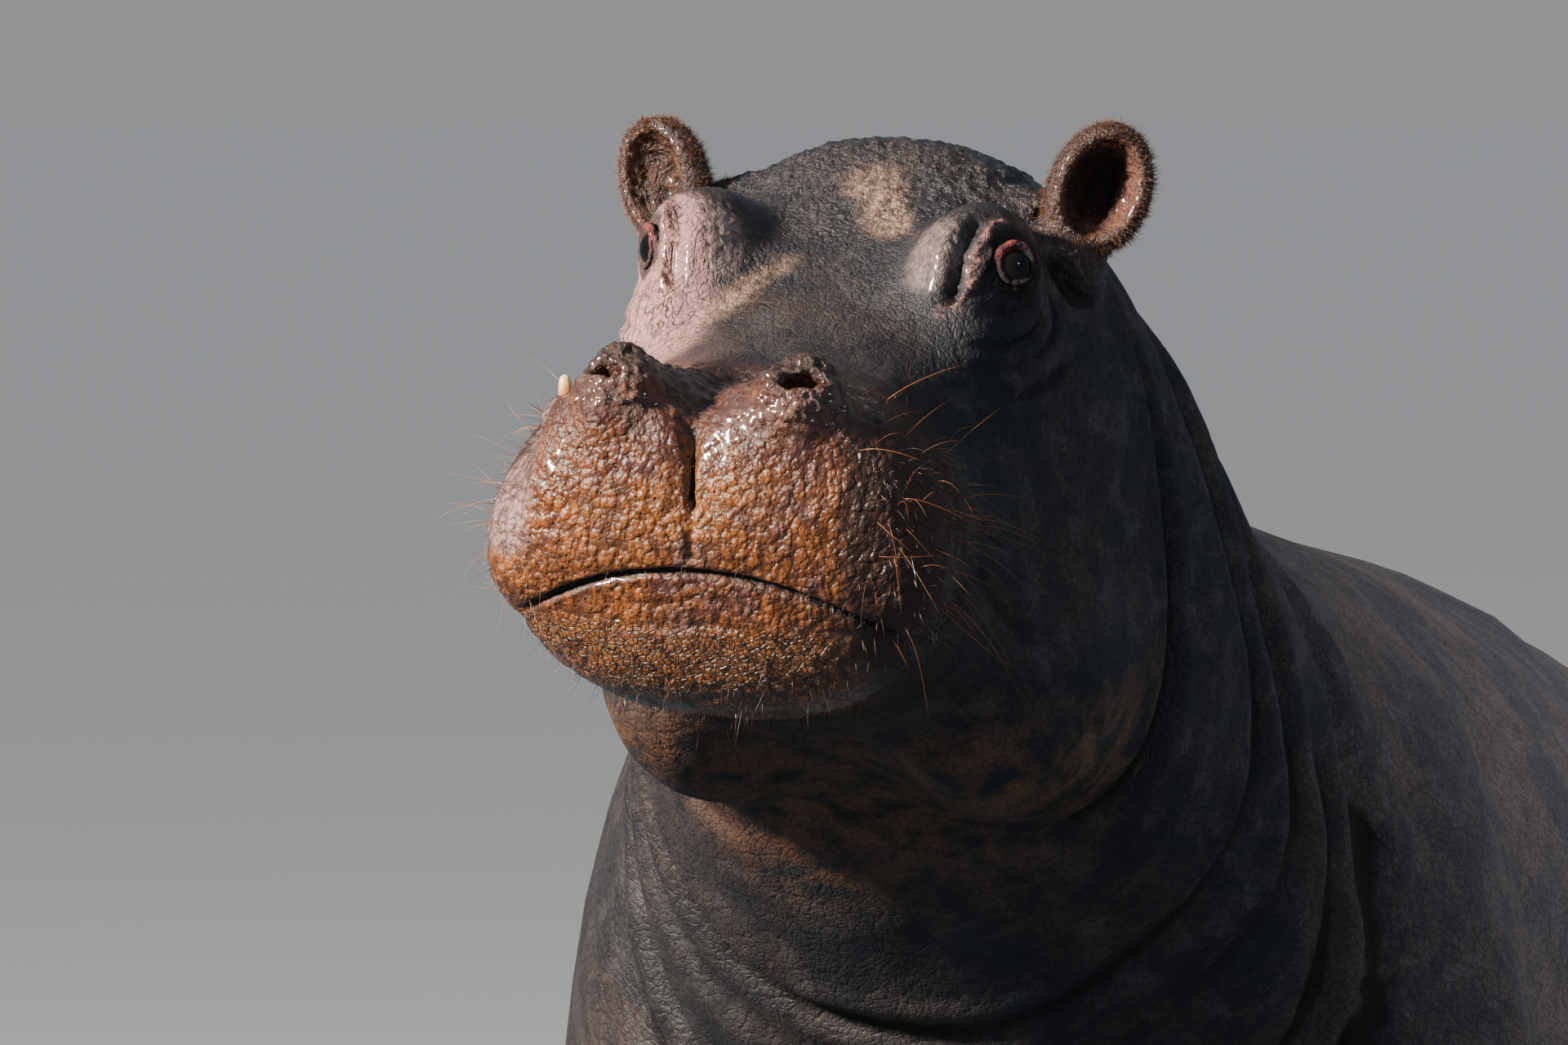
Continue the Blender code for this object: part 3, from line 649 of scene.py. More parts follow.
def form_philtrum(clay):
    """A slit up the middle of the lip that opens into the dip between the nostrils."""
    side, back, up = clay.seen_from(head_frame()).T
    middle_line = -0.002 - 0.09 * np.clip(up - 0.06, 0, 0.11)
    wide = 0.0042 + 0.004 * ramp(up, 0.085, 0.13) + 0.017 * ramp(up, 0.118, 0.165)
    cleft = hill(side - middle_line, wide) * ramp(back, 0.22, 0.12)
    into = 0.013 * ramp(up, 0.048, 0.066) + 0.01 * ramp(up, 0.11, 0.16)
    down = 0.01 * ramp(up, 0.135, 0.165)
    shift = np.stack([np.zeros(len(up)), into * cleft, -down * cleft], axis=1)
    clay.points += shift @ np.array(head_frame().to_3x3()).T


def form_face_folds(clay):
    """Folds round the eyes, over the cheeks and behind the jaw, fainter on the right."""
    folds = [
        # (width, depth, lip, taper, places)
        (0.011, 0.016, 0.0014, 0.28, (
            (0.176, 0.48, 0.285), (0.16, 0.45, 0.28), (0.152, 0.425, 0.264), (0.15, 0.404, 0.245),
            (0.149, 0.393, 0.225), (0.146, 0.387, 0.206), (0.141, 0.382, 0.193))),
        (0.0034, -0.0066, 0.0, 0.22, (
            (0.182, 0.471, 0.276), (0.175, 0.451, 0.274), (0.171, 0.429, 0.263), (0.169, 0.412, 0.247),
            (0.166, 0.4, 0.229), (0.157, 0.388, 0.21), (0.14, 0.381, 0.196))),
        (0.0048, 0.0062, 0.0, 0.3, (
            (0.188, 0.462, 0.273), (0.181, 0.44, 0.266), (0.178, 0.42, 0.252), (0.175, 0.406, 0.234),
            (0.166, 0.394, 0.212))),
        (0.0048, 0.0042, 0.0022, 0.35, (
            (0.2, 0.52, 0.235), (0.212, 0.483, 0.204), (0.208, 0.45, 0.188), (0.193, 0.404, 0.189),
            (0.167, 0.383, 0.193))),
        (0.006, 0.006, 0.003, 0.3, (
            (0.212, 0.53, 0.215), (0.216, 0.5, 0.18), (0.212, 0.445, 0.16), (0.197, 0.392, 0.159),
            (0.162, 0.362, 0.169))),
        (0.006, 0.005, 0.003, 0.35, (
            (0.21, 0.54, 0.21), (0.216, 0.54, 0.165), (0.214, 0.5, 0.142), (0.198, 0.42, 0.134),
            (0.16, 0.35, 0.142))),
        (0.008, 0.0045, 0.003, 0.4, (
            (0.23, 0.59, 0.13), (0.228, 0.52, 0.11), (0.212, 0.43, 0.104), (0.175, 0.33, 0.118))),
        (0.01, 0.008, 0.004, 0.3, (
            (0.205, 0.56, 0.262), (0.212, 0.565, 0.215), (0.226, 0.585, 0.175), (0.24, 0.64, 0.165))),
        (0.017, 0.02, 0.007, 0.2, (
            (0.205, 0.7, 0.245), (0.255, 0.718, 0.15), (0.284, 0.726, 0.04), (0.294, 0.73, -0.08),
            (0.286, 0.725, -0.2), (0.235, 0.705, -0.33), (0.12, 0.69, -0.42))),
        (0.014, 0.004, 0.0015, 0.35, (
            (0.2, 0.3, -0.02), (0.212, 0.38, -0.1), (0.235, 0.47, -0.19), (0.24, 0.56, -0.29))),
        (0.008, 0.004, 0.003, 0.4, (
            (0.19, 0.26, 0.02), (0.2, 0.34, -0.02), (0.222, 0.43, -0.06))),
    ]
    for width, depth, lip, taper, places in folds:
        for sign in SIDES.values():
            share = 1.0 if sign > 0 else 0.6
            clay.stroke(on_head(places, sign), width, share * depth, share * lip, taper)


def form_cheek_creases(clay):
    """Long fine creases that hang from the right eye."""
    rng = np.random.default_rng(3)
    for start in np.linspace(0.25, 0.5, 10):
        x, y, z = 0.195, start, 0.195 - 0.5 * abs(start - 0.42)
        places = []
        for _ in range(6):
            places.append((x, y, z))
            y += rng.uniform(-0.018, 0.004)
            z -= rng.uniform(0.018, 0.03)
            x += rng.uniform(-0.002, 0.006)
        clay.stroke(on_head(places, -1), 0.003, rng.uniform(0.0016, 0.0034), 0.001, 0.4)


def form_body_folds(clay):
    """Uneven folds round the neck, and creases where the legs join."""
    stance = stance_frame()
    rings = [
        # (back, half width, level, half height, width, depth, first and last angle)
        (0.86, 0.305, 1.25, 0.38, 0.016, 0.008, -1.9, 1.1),
        (0.87, 0.305, 1.25, 0.38, 0.018, 0.01, 2.2, 5.0),
        (0.96, 0.335, 1.2, 0.4, 0.024, 0.017, -1.5, 4.6),
        (1.07, 0.362, 1.1, 0.44, 0.02, 0.01, -2.2, 0.5),
        (1.08, 0.362, 1.1, 0.44, 0.022, 0.012, 2.4, 5.2),
        (1.19, 0.395, 1.03, 0.43, 0.03, 0.016, -1.7, 4.8),
        (1.31, 0.43, 0.96, 0.44, 0.024, 0.007, -1.2, 0.8),
    ]
    for back, wide, level, tall, width, depth, first, last in rings:
        path = []
        for a in np.linspace(first, last, 22):
            wave = 0.016 * math.sin(3.1 * a + 9 * back) + 0.01 * math.sin(5.3 * a + 4 * back)
            place = (wide * math.cos(a), back + wave - 0.12 * math.sin(a), level + tall * math.sin(a))
            path.append(stance @ Vector(place))
        clay.stroke(path, width, depth, 0.5 * depth, 0.22)
    creases = [
        # (width, depth, places)
        (0.034, 0.024, ((0.4, 1.7, 1.0), (0.48, 1.74, 0.8), (0.48, 1.7, 0.6), (0.44, 1.6, 0.45))),
        (0.022, 0.01, ((0.34, 1.22, 0.8), (0.42, 1.2, 0.64), (0.44, 1.22, 0.5))),
        (0.034, 0.024, ((0.44, 2.26, 0.98), (0.54, 2.3, 0.74), (0.53, 2.4, 0.54), (0.46, 2.48, 0.42))),
        (0.022, 0.01, ((0.46, 2.14, 0.8), (0.56, 2.18, 0.62), (0.54, 2.28, 0.46))),
        (0.03, 0.01, ((0.4, 2.75, 0.4), (0.42, 2.9, 0.44), (0.36, 3.0, 0.52))),
    ]
    for sign in SIDES.values():
        for width, depth, places in creases:
            path = [stance @ Vector((sign * x, y, z)) for x, y, z in places]
            clay.stroke(path, width, depth, 0.4 * depth, 0.35)


def form_feet(clay):
    """Creases over the toes and at the wrists."""
    for leg in LEGS:
        hub = foot_middle(leg)
        for height, reach, depth in ((0.115, 0.125, 0.005), (0.165, 0.118, 0.004), (0.24, 0.115, 0.004)):
            path = [
                hub + Vector((reach * math.sin(a), -reach * math.cos(a), height - hub.z))
                for a in np.linspace(-2.6, 2.6, 14)
            ]
            clay.stroke(path, 0.009, depth, 0.4 * depth, 0.3)


def lip_level(side):
    """How high the line of the lips lies at each point."""
    places = np.linspace(-0.24, 0.24, 25)
    return np.interp(side, places, [mouth_level(x, 0) for x in places])


def roughen(clay):
    """Lumps and wrinkles too large to be only a finish."""
    normals = clay.normals()
    side, back, up = clay.seen_from(head_frame()).T
    muzzle = pebbled(side, back, up) * (1 - 0.8 * hill(up - lip_level(side) + 0.002, 0.0075))
    crown = ramp(back, 0.46, 0.58) * ramp(up, 0.17, 0.23) * ramp(np.abs(side), 0.22, 0.15)
    crown *= ramp(back, 0.86, 0.74)
    mound = ramp(up, 0.12, 0.16) * ramp(back, 0.24, 0.14) * ramp(np.abs(side), 0.215, 0.165)
    brow, ear = np.zeros((2, len(side)))
    for sign in SIDES.values():
        brow = np.maximum(brow, clay.near(on_side(sign, (0.15, 0.44, 0.24)), (0.09, 0.1, 0.09)))
        ear = np.maximum(ear, clay.near(ear_frame(sign), (0.085, 0.06, 0.105)))
    body = ramp(back, 0.75, 1.1)
    noise.seed_set(NOISE_SEED)
    height = np.zeros(len(clay.points))
    for row, point in enumerate(clay.points):
        spot = Vector(point)
        if muzzle[row] > 0.01:
            cell = noise.voronoi(spot * 82 + noise.noise_vector(spot * 30) * 0.5)[0][0]
            height[row] += muzzle[row] * (0.001 - 0.003 * min(cell, 0.7) ** 2)
            height[row] += muzzle[row] * 0.0011 * noise.noise(spot * Vector((34, 34, 17)))
        if crown[row] > 0.01:
            folded = abs(noise.noise(spot * Vector((46, 30, 46))))
            knobbly = noise.noise(spot * 120) + 0.6 * noise.noise(spot * 230)
            height[row] += crown[row] * (0.0048 * folded + 0.0021 * knobbly)
        if brow[row] > 0.01:
            height[row] += brow[row] * 0.0022 * noise.noise(spot * 135)
        if mound[row] > 0.01:
            height[row] += mound[row] * 0.0034 * noise.noise(spot * 125)
        if ear[row] > 0.01:
            height[row] += ear[row] * 0.003 * noise.noise(spot * 150)
        if body[row] > 0.01:
            height[row] += body[row] * 0.005 * noise.noise(spot * 9)
        height[row] += 0.001 * noise.noise(spot * 28)
    clay.points += normals * height[:, None]


def pebbled(side, back, up):
    """Where the muzzle's skin is pebbled, from places in the head's frame."""
    front = np.maximum(ramp(back, 0.2, 0.11), ramp(back, 0.25, 0.17) * ramp(up, 0.1, 0.14))
    below = ramp(up, 0.25, 0.205)
    chin = ramp(back, 0.42, 0.18) * ramp(up, -0.06, -0.1)
    return np.maximum(front * below, 0.6 * chin)


def shade_masks(clay):
    """Where each colour of the hide lies, as point attributes."""
    side, back, up = clay.seen_from(head_frame()).T
    wide = np.abs(side)
    normals = clay.normals()
    right = ramp(side, 0.03, -0.05)
    pebble = pebbled(side, back, up)
    # painted shade: the rust colour keeps to the lit front and right of the muzzle and fades out towards
    # its shaded left side
    lit = ramp(side, 0.19, 0.11) * ramp(back, 0.15, 0.085)
    chin = ramp(back, 0.26, 0.14) * ramp(up, -0.045, -0.085) * ramp(side, 0.2, 0.1)
    # how hollow each point lies, which paints shade into the hollows
    hollows = np.einsum("ij,ij->i", clay.around(clay.points) - clay.points, normals)
    cavity = clay.around(clay.around(hollows[:, None]))[:, 0]
    eye, lid, ear, nostril, fold, cup, brow, rim = np.zeros((8, len(side)))
    for sign in SIDES.values():

        def patch(place, radii):
            return clay.near(on_side(sign, place), radii)

        eye = np.maximum(eye, patch((0.2, 0.44, 0.215), (0.085, 0.105, 0.085)))
        # the brow patch also places the pale brow colour, partly a painted sheen on the wet hump
        brow = np.maximum(brow, patch((0.118, 0.425, 0.245), (0.055, 0.085, 0.07)))
        _, reach, facing, past, upper, lower = round_eye(clay, sign)
        fleshy = upper * hill(past - 7, 8) * ramp(sign * facing[:, 1], 0.45, -0.1)
        lid = np.maximum(lid, fleshy * ramp(reach, 0.046, 0.038))
        rim = np.maximum(rim, ramp(reach, 0.044, 0.036))
        place = ear_frame(sign)
        ear = np.maximum(ear, clay.near(place, (0.085, 0.075, 0.115)))
        x, y, z = clay.seen_from(place).T
        # painted shade: dark deep in the ear's cup, set off to one side, full on the left ear and half
        # on the right after how the light falls
        spread = np.hypot(x / 0.04, (z - 0.004) / 0.058) + 0.25 * x / 0.04
        deep = ramp(y, -0.02, -0.004) * (np.abs(y) < 0.06)
        cup = np.maximum(cup, (0.75 + 0.25 * sign) * ramp(spread, 0.86, 0.5) * deep)
        pit = patch((0.101, 0.048, 0.18), (0.03, 0.026, 0.02))
        nostril = np.maximum(nostril, pit * ramp(cavity, 0.0, 0.0005))
        ridge = (
            (0.178, 0.471, 0.277), (0.171, 0.451, 0.275), (0.167, 0.429, 0.264),
            (0.165, 0.412, 0.248), (0.162, 0.4, 0.23), (0.154, 0.388, 0.211), (0.14, 0.381, 0.196),
        )
        fold = np.maximum(fold, clay.painted(on_head(ridge, sign), 0.006))
    # the pink of the cheek and temple goes on the right side only, the side in the light; its lack on
    # the left is painted shade
    cheek = clay.near(on_side(-1, (0.17, 0.35, 0.13)), (0.12, 0.2, 0.15))
    temple = clay.near(on_side(-1, (0.178, 0.405, 0.245)), (0.092, 0.13, 0.09))
    forehead = on_head(((0.005, 0.58, 0.28), (0.027, 0.55, 0.265), (0.045, 0.52, 0.25)))
    streak = on_head((
        (-0.045, 0.45, 0.222), (-0.062, 0.415, 0.208), (-0.078, 0.385, 0.197), (-0.09, 0.35, 0.183)
    ))
    tan = np.maximum(0.9 * clay.painted(forehead, 0.034), 0.5 * clay.painted(streak, 0.022))
    mounds = ramp(up, 0.12, 0.165) * ramp(back, 0.26, 0.14) * ramp(wide, 0.215, 0.165)
    before_neck = ramp(back, 0.95, 0.8)
    scalp = ramp(back, 0.4, 0.56) * ramp(up, 0.15, 0.22) * before_neck
    scalp = scalp * ramp(wide, 0.185, 0.14)
    snout = 0.5 * ramp(up, 0.1, 0.16) * before_neck * ramp(wide, 0.175, 0.12)
    # painted shade: a dark band along the line of the lips
    lips = hill(up - lip_level(side) + 0.003, 0.0055) * ramp(back, 0.2, 0.1)
    masks = {
        "pebble": pebble,
        # rust, fading out on the muzzle's shaded left side as painted shade
        "rust": np.maximum(pebble * lit * ramp(up, 0.215, 0.16), chin),
        "chin": chin,
        "upper": ramp(up, 0.045, 0.16),
        # pink: real bare skin, laid on far more strongly on the lit right side than on the shaded left,
        # which is painted shade
        "pink": eye * (0.15 + 1.2 * right) + 1.9 * cheek * right + 1.7 * temple,
        "tan": tan,
        "lid": lid,
        "fold": fold,
        "ear": ear,
        "cup": cup,
        "brow": brow,
        "body": ramp(back, 1.0, 1.55),
        # rim: the dark rim of the eye, and painted shade along the line of the lips
        "rim": np.maximum(rim, 0.55 * lips),
        "beads": np.maximum.reduce([brow, ear, mounds, scalp, snout]),
        "flank": ramp(-side, 0.15, 0.2) * ramp(back, 0.3, 0.12) * ramp(up, -0.03, 0.03),
        "nostril": nostril,
        "jowl": ramp(up, -0.18, -0.3) * ramp(back, 0.2, 0.32) * ramp(back, 0.74, 0.6),
        # cavity: how hollow each point is, for painted shade
        "cavity": 0.5 + cavity / 0.001,
        "under": ramp(-normals[:, 2], 0.15, 0.75) * ramp(back, 0.95, 1.25),
        "crown": ramp(back, 0.44, 0.56) * ramp(up, 0.15, 0.21) * before_neck,
    }
    for name, values in masks.items():
        set_values(clay.mesh, name, np.clip(values, 0, 1))


def keep_in_box(clay):
    """Nothing of the skin passes the solids' own box."""
    low, high = CAD_BOX
    clay.points = np.clip(clay.points, np.array(low), np.array(high))


class HIPPO_OT_skin(Operator):
    """Lays one skin round the flesh, forms its folds and paints it"""

    bl_idname = "hippo.skin"
    bl_label = "Skin"

    def execute(self, context):
        sizes = context.scene.hippo_skin
        clay = Clay(fused_flesh(sizes.voxel))
        smooth_flesh(clay)
        clay.store()
        mesh = thinned(clay, sizes.body_triangles)
        nostril = (0.104, 0.056, 0.185)
        for zone in (
            ball_zone(EYE_SEATS, 0.085),
            ball_zone(EAR_SEATS, 0.105),
            muzzle_zone,
            crown_zone,
            ball_zone({-1: (0.185, 0.33, 0.12)}, 0.13),
            ball_zone(EYE_SEATS, 0.052),
            ball_zone({1: nostril, -1: nostril}, 0.05),
        ):
            refine(mesh, zone)
        bm = bmesh.new()
        bm.from_mesh(mesh)
        bmesh.ops.triangulate(bm, faces=bm.faces)
        bm.to_mesh(mesh)
        bm.free()
        clay = Clay(mesh)
        clay.soften(3, ramp(body_back(clay), 0.9, 0.8))
        for form in (
            form_ears,
            form_nostrils,
            form_philtrum,
            form_mouth,
            form_face_folds,
            form_cheek_creases,
            form_eyes,
            form_body_folds,
            form_feet,
            roughen,
            keep_in_box,
        ):
            form(clay)
        clay.store()
        shade_masks(clay)
        mesh.materials.clear()
        mesh.materials.append(hide_material(sizes))
        mesh.shade_smooth()
        skin = link("skin", mesh)
        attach(skin, "root")
        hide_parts(*FLESH)
        return {"FINISHED"}


# ---------------------------------------------------------------- finishes


def arithmetic(operation, swapped=False):
    """An operator of Wire, which adds a Math node."""

    def apply(wire, other):
        pair = (other, wire) if swapped else (wire, other)
        return wire.wires.math(operation, *pair)

    return apply


class Wire:
    """A value in a shader tree, for sums and products with others."""

    def __init__(self, wires, socket):
        self.wires = wires
        self.socket = socket

    __add__ = arithmetic("ADD")
    __sub__ = arithmetic("SUBTRACT")
    __rsub__ = arithmetic("SUBTRACT", swapped=True)
    __mul__ = arithmetic("MULTIPLY")


class Wires:
    """Short calls that add shader nodes to a tree and join them."""

    def __init__(self, tree):
        self.tree = tree

    def put(self, socket, value):
        """Joins a wire to the socket, or sets a plain value or colour on it."""
        if isinstance(value, Wire):
            self.tree.links.new(value.socket, socket)
        elif isinstance(value, (tuple, list)) or hasattr(value, "r"):
            values = tuple(value)
            opaque = len(values) == 3 and len(socket.default_value) == 4
            socket.default_value = values + (1.0,) if opaque else values
        else:
            socket.default_value = value

    def wire(self, kind, values, output=0, **settings):
        """Adds a node, fills its inputs by name or number, and gives one of its outputs."""
        made = self.tree.nodes.new(kind)
        for name, value in settings.items():
            setattr(made, name, value)
        for key, value in values.items():
            self.put(made.inputs[key], value)
        return Wire(self, made.outputs[output])

    def math(self, operation, *values):
        return self.wire("ShaderNodeMath", dict(enumerate(values)), operation=operation)

    def mix(self, share, a, b):
        settings = {"data_type": "RGBA", "clamp_factor": True}
        return self.wire("ShaderNodeMix", {0: share, 6: a, 7: b}, 2, **settings)

    def layered(self, tone, *coats):
        """Covers the tone with each coat, a share and a colour, in turn."""
        for share, cover in coats:
            tone = self.mix(share, tone, cover)
        return tone

    def span(self, value, start, end, low=0.0, high=1.0):
        """Goes smoothly from low, where the value is start, to high, where it is end."""
        values = dict(enumerate((value, start, end, low, high)))
        return self.wire("ShaderNodeMapRange", values, interpolation_type="SMOOTHSTEP")

    def place(self, vector, scale):
        return self.wire("ShaderNodeMapping", {"Vector": vector, "Scale": scale})

    def noise(self, vector, scale, detail=3.0, rough=0.55, warp=0.0):
        values = {"Vector": vector, "Scale": scale, "Detail": detail, "Roughness": rough}
        return self.wire("ShaderNodeTexNoise", {**values, "Distortion": warp})

    def cells(self, vector, scale, feature="F1"):
        values = {"Vector": vector, "Scale": scale}
        return self.wire("ShaderNodeTexVoronoi", values, "Distance", feature=feature)

    def mask(self, name):
        return self.wire("ShaderNodeAttribute", {}, "Fac", attribute_name=name)

    def masks(self, names):
        return [self.mask(name) for name in names.split()]

    def shoved(self, vector, scale, amount):
        """The vector pushed about by noise, so that no cell has straight sides."""
        values = {"Vector": vector, "Scale": scale, "Detail": 2.0}
        push = self.wire("ShaderNodeTexNoise", values, "Color")
        centred = self.vector("SUBTRACT", {0: push, 1: (0.5, 0.5, 0.5)})
        return self.vector("ADD", {0: vector, 1: self.vector("SCALE", {0: centred, "Scale": amount})})

    def vector(self, operation, values):
        return self.wire("ShaderNodeVectorMath", values, operation=operation)

    def group(self, tree, vector, scale):
        """Places a node group and gives its outputs by name."""
        made = self.tree.nodes.new("ShaderNodeGroup")
        made.node_tree = tree
        self.put(made.inputs["Vector"], vector)
        self.put(made.inputs["Scale"], scale)
        return {socket.name: Wire(self, socket) for socket in made.outputs}

    def bump(self, height_mm):
        return self.wire("ShaderNodeBump", {"Strength": 1.0, "Distance": 0.001, "Height": height_mm})

    def dress(self, shader, **values):
        """Fills the shader's sockets: Base_Color stands for Base Color."""
        for label, value in values.items():
            self.put(shader[label.replace("_", " ")], value)


def effect(name, outputs, build):
    """A shader node group, made once, that turns a vector and a scale into the outputs."""
    if name in bpy.data.node_groups:
        return bpy.data.node_groups[name]
    group = bpy.data.node_groups.new(name, "ShaderNodeTree")
    group.interface.new_socket("Vector", in_out="INPUT", socket_type="NodeSocketVector")
    group.interface.new_socket("Scale", in_out="INPUT", socket_type="NodeSocketFloat")
    for label in outputs:
        group.interface.new_socket(label, in_out="OUTPUT", socket_type="NodeSocketFloat")
    wires = Wires(group)
    given = [Wire(wires, socket) for socket in group.nodes.new("NodeGroupInput").outputs[:2]]
    end = group.nodes.new("NodeGroupOutput")
    for label, value in zip(outputs, build(wires, *given)):
        wires.put(end.inputs[label], value)
    return group


def cracked_hide():
    """Height in millimetres of fine polygon cracks, and a mask of the cracks."""

    def build(w, vector, scale):
        edge = w.cells(w.shoved(vector, 45.0, 0.012), scale, "DISTANCE_TO_EDGE")
        plate = w.span(edge, 0.0, 0.16)
        return plate, 1.0 - plate

    return effect("Cracked hide", ("Height", "Crack"), build)


def grain():
    """Fine uneven grain, 0 to 1."""

    def build(w, vector, scale):
        coarse = w.noise(vector, scale, 5.0, 0.62)
        fine = w.noise(vector, scale * 3.7, 2.0, 0.5)
        return [coarse * 0.7 + fine * 0.3]

    return effect("Grain", ("Grain",), build)


def new_material(name):
    """A material, its wires, its glossy shader's sockets and its Object coordinates."""
    material = bpy.data.materials.new(name)
    material.use_nodes = True
    nodes = material.node_tree.nodes
    nodes.clear()
    shader = nodes.new("ShaderNodeBsdfPrincipled")
    end = nodes.new("ShaderNodeOutputMaterial")
    material.node_tree.links.new(shader.outputs[0], end.inputs[0])
    wires = Wires(material.node_tree)
    return material, wires, shader.inputs, wires.wire("ShaderNodeTexCoord", {}, "Object")


def hide_material(sizes):
    """Wet hippopotamus hide, from slate back to rusty muzzle."""
    material, w, shader, here = new_material("wet hide")
    pebbly, rust, chin, upper, pink, tan = w.masks("pebble rust chin upper pink tan")
    lid, fold, ear, cup, nostril, cavity, jowl = w.masks("lid fold ear cup nostril cavity jowl")
    under, crown, flank, brow, body, rim, beads = w.masks("under crown flank brow body rim beads")

    broad = w.noise(here, 5.0, 4.0, 0.6, 0.6)
    patch = w.noise(here, 23.0, 5.0, 0.62, 0.4)
    speck = w.noise(here, 95.0, 4.0, 0.65)
    wet = w.noise(here, 14.0, 4.0, 0.6)
    fine = w.group(grain(), here, 330.0)["Grain"]
    plates = w.group(cracked_hide(), here, 104.0)
    plaques = w.group(cracked_hide(), here, 36.0)
    net = w.group(cracked_hide(), here, 150.0)
    pebble = w.cells(w.place(w.shoved(here, 60.0, 0.016), (1, 1, 0.86)), 104.0)
    small_pebble = w.cells(w.shoved(here, 90.0, 0.006), 235.0)
    pit = w.cells(here, 88.0)
    strands = w.noise(w.place(here, (1, 0.3, 0.3)), 240.0, 4.0, 0.7, 0.3)
    rungs = w.noise(w.place(here, (0.25, 0.25, 1)), 190.0, 2.0, 0.5)
    hanging = w.noise(w.place(w.shoved(here, 9.0, 0.04), (1, 1, 0.12)), 62.0, 2.0, 0.55)
    creases = w.span(w.math("ABSOLUTE", hanging - 0.5), 0.03, 0.0)
    ragged = broad * 0.4 + patch * 0.35 + speck * 0.25
    mauve = broad * 0.3 + patch * 0.5 + speck * 0.2
    smooth = 1.0 - pebbly

    def torn(mask, spread):
        """The mask with a ragged edge."""
        return w.span(mask + (ragged - 0.5) * (2.2 * spread), 0.18, 0.78)

    slate = w.layered(
        w.mix(body, sizes.slate, sizes.flank),
        (w.span(ragged, 0.42, 0.62), w.mix(body, sizes.umber, (0.072, 0.05, 0.044))),
        # brown on the pebbled skin where the rust gives out, on the muzzle's shaded left side a step of
        # painted shade; then a painted sheen of pale grey-blue patches on the smooth hide
        (pebbly * 0.8, (0.03, 0.013, 0.008)),
        # painted sheen: pale grey-blue patches on the smooth hide
        (w.span(patch, 0.5, 0.72) * w.span(pebbly, 0.5, 0.0, 0.0, 0.5), (0.04, 0.039, 0.048)),
        # rosy belly, brown jowl, dusty crown, and a pale brow that is partly pinkish-grey skin and
        # partly a painted sheen on the wet brow hump
        (under * w.span(broad, 0.35, 0.62, 0.35, 0.9), (0.115, 0.058, 0.048)),
        (jowl * w.span(patch, 0.35, 0.65), (0.09, 0.038, 0.016)),
        (crown * w.span(strands, 0.46, 0.66, 0.0, 0.7), (0.066, 0.046, 0.048)),
        (torn(brow, 0.3) * w.span(speck, 0.34, 0.58, 0.35, 0.95), (0.175, 0.122, 0.118)),
    )
    blush = w.layered(
        sizes.pink,
        (w.span(patch, 0.38, 0.64), (0.21, 0.118, 0.114)),
        (creases * 0.75, (0.06, 0.03, 0.028)),
    )
    sand = w.mix(w.span(strands, 0.46, 0.7), sizes.tan, (0.075, 0.05, 0.044))
    hairy = w.mix(w.span(patch, 0.35, 0.65), (0.14, 0.05, 0.028), (0.046, 0.02, 0.014))
    raw = w.mix(w.span(speck, 0.4, 0.62), sizes.blood, (0.05, 0.012, 0.012))
    rusty = w.layered(
        sizes.rust,
        (w.span(patch * 0.6 + broad * 0.4, 0.38, 0.6), sizes.russet),
        (chin * w.span(patch, 0.3, 0.6, 0.3, 0.9), sizes.ochre),
        (
            upper * w.span(patch, 0.28, 0.6, 0.45, 1.0),
            w.mix(w.span(speck, 0.4, 0.66), sizes.plum, sizes.russet),
        ),
        (w.span(mauve, 0.5, 0.6) * w.span(chin, 1.0, 0.0, 0.15, 0.7), (0.12, 0.06, 0.054)),
        (torn(flank, 0.4) * 0.9, (0.2, 0.122, 0.116)),
        # dark seams between the pebbles, cracks on the chin, and bristle pits
        (w.span(pebble, 0.34, 0.74, 0.0, 0.7), (0.03, 0.009, 0.004)),
        (chin * net["Crack"] * 0.8, (0.022, 0.009, 0.005)),
        (w.span(pit, 0.15, 0.08), (0.008, 0.004, 0.003)),
    )
    # painted glints: tiny pale dots in the colour that stand for sparkles of light on the wet beaded
    # skin
    painted_glints = w.span(small_pebble, 0.2, 0.08) * w.span(speck, 0.44, 0.58) * beads
    shade = w.span(cavity, 0.58, 0.95, 0.0, 0.85) * w.span(nostril, 0.0, 1.0, 1.0, 0.35)
    tone = w.layered(
        slate,
        (torn(pink, 0.4), blush),
        (torn(tan, 0.9) * w.span(speck, 0.62, 0.4, 0.15, 0.72), sand),
        (torn(rust, 0.28), rusty),
        (torn(ear, 0.4) * 0.9, hairy),
        # painted glints on the beaded skin
        (painted_glints * 0.4, (0.5, 0.44, 0.42)),
        # painted shade deep in the ear's cup; the dark rim of the eye, which also carries painted shade
        # along the line of the lips; and the ridge over the eye
        (cup * 0.92, (0.01, 0.004, 0.003)),
        # the rim also paints shade along the line of the lips
        (rim * 0.85, (0.012, 0.008, 0.009)),
        (fold * w.span(rungs, 0.38, 0.6, 0.1, 0.85), (0.21, 0.088, 0.074)),
        (lid * 0.65, raw),
        (torn(nostril, 0.2), sizes.blood),
        # painted shade in the hollows, and darker along the cracks
        (shade, (0.006, 0.004, 0.004)),
        (plates["Crack"] * smooth * 0.4, (0.007, 0.006, 0.007)),
    )

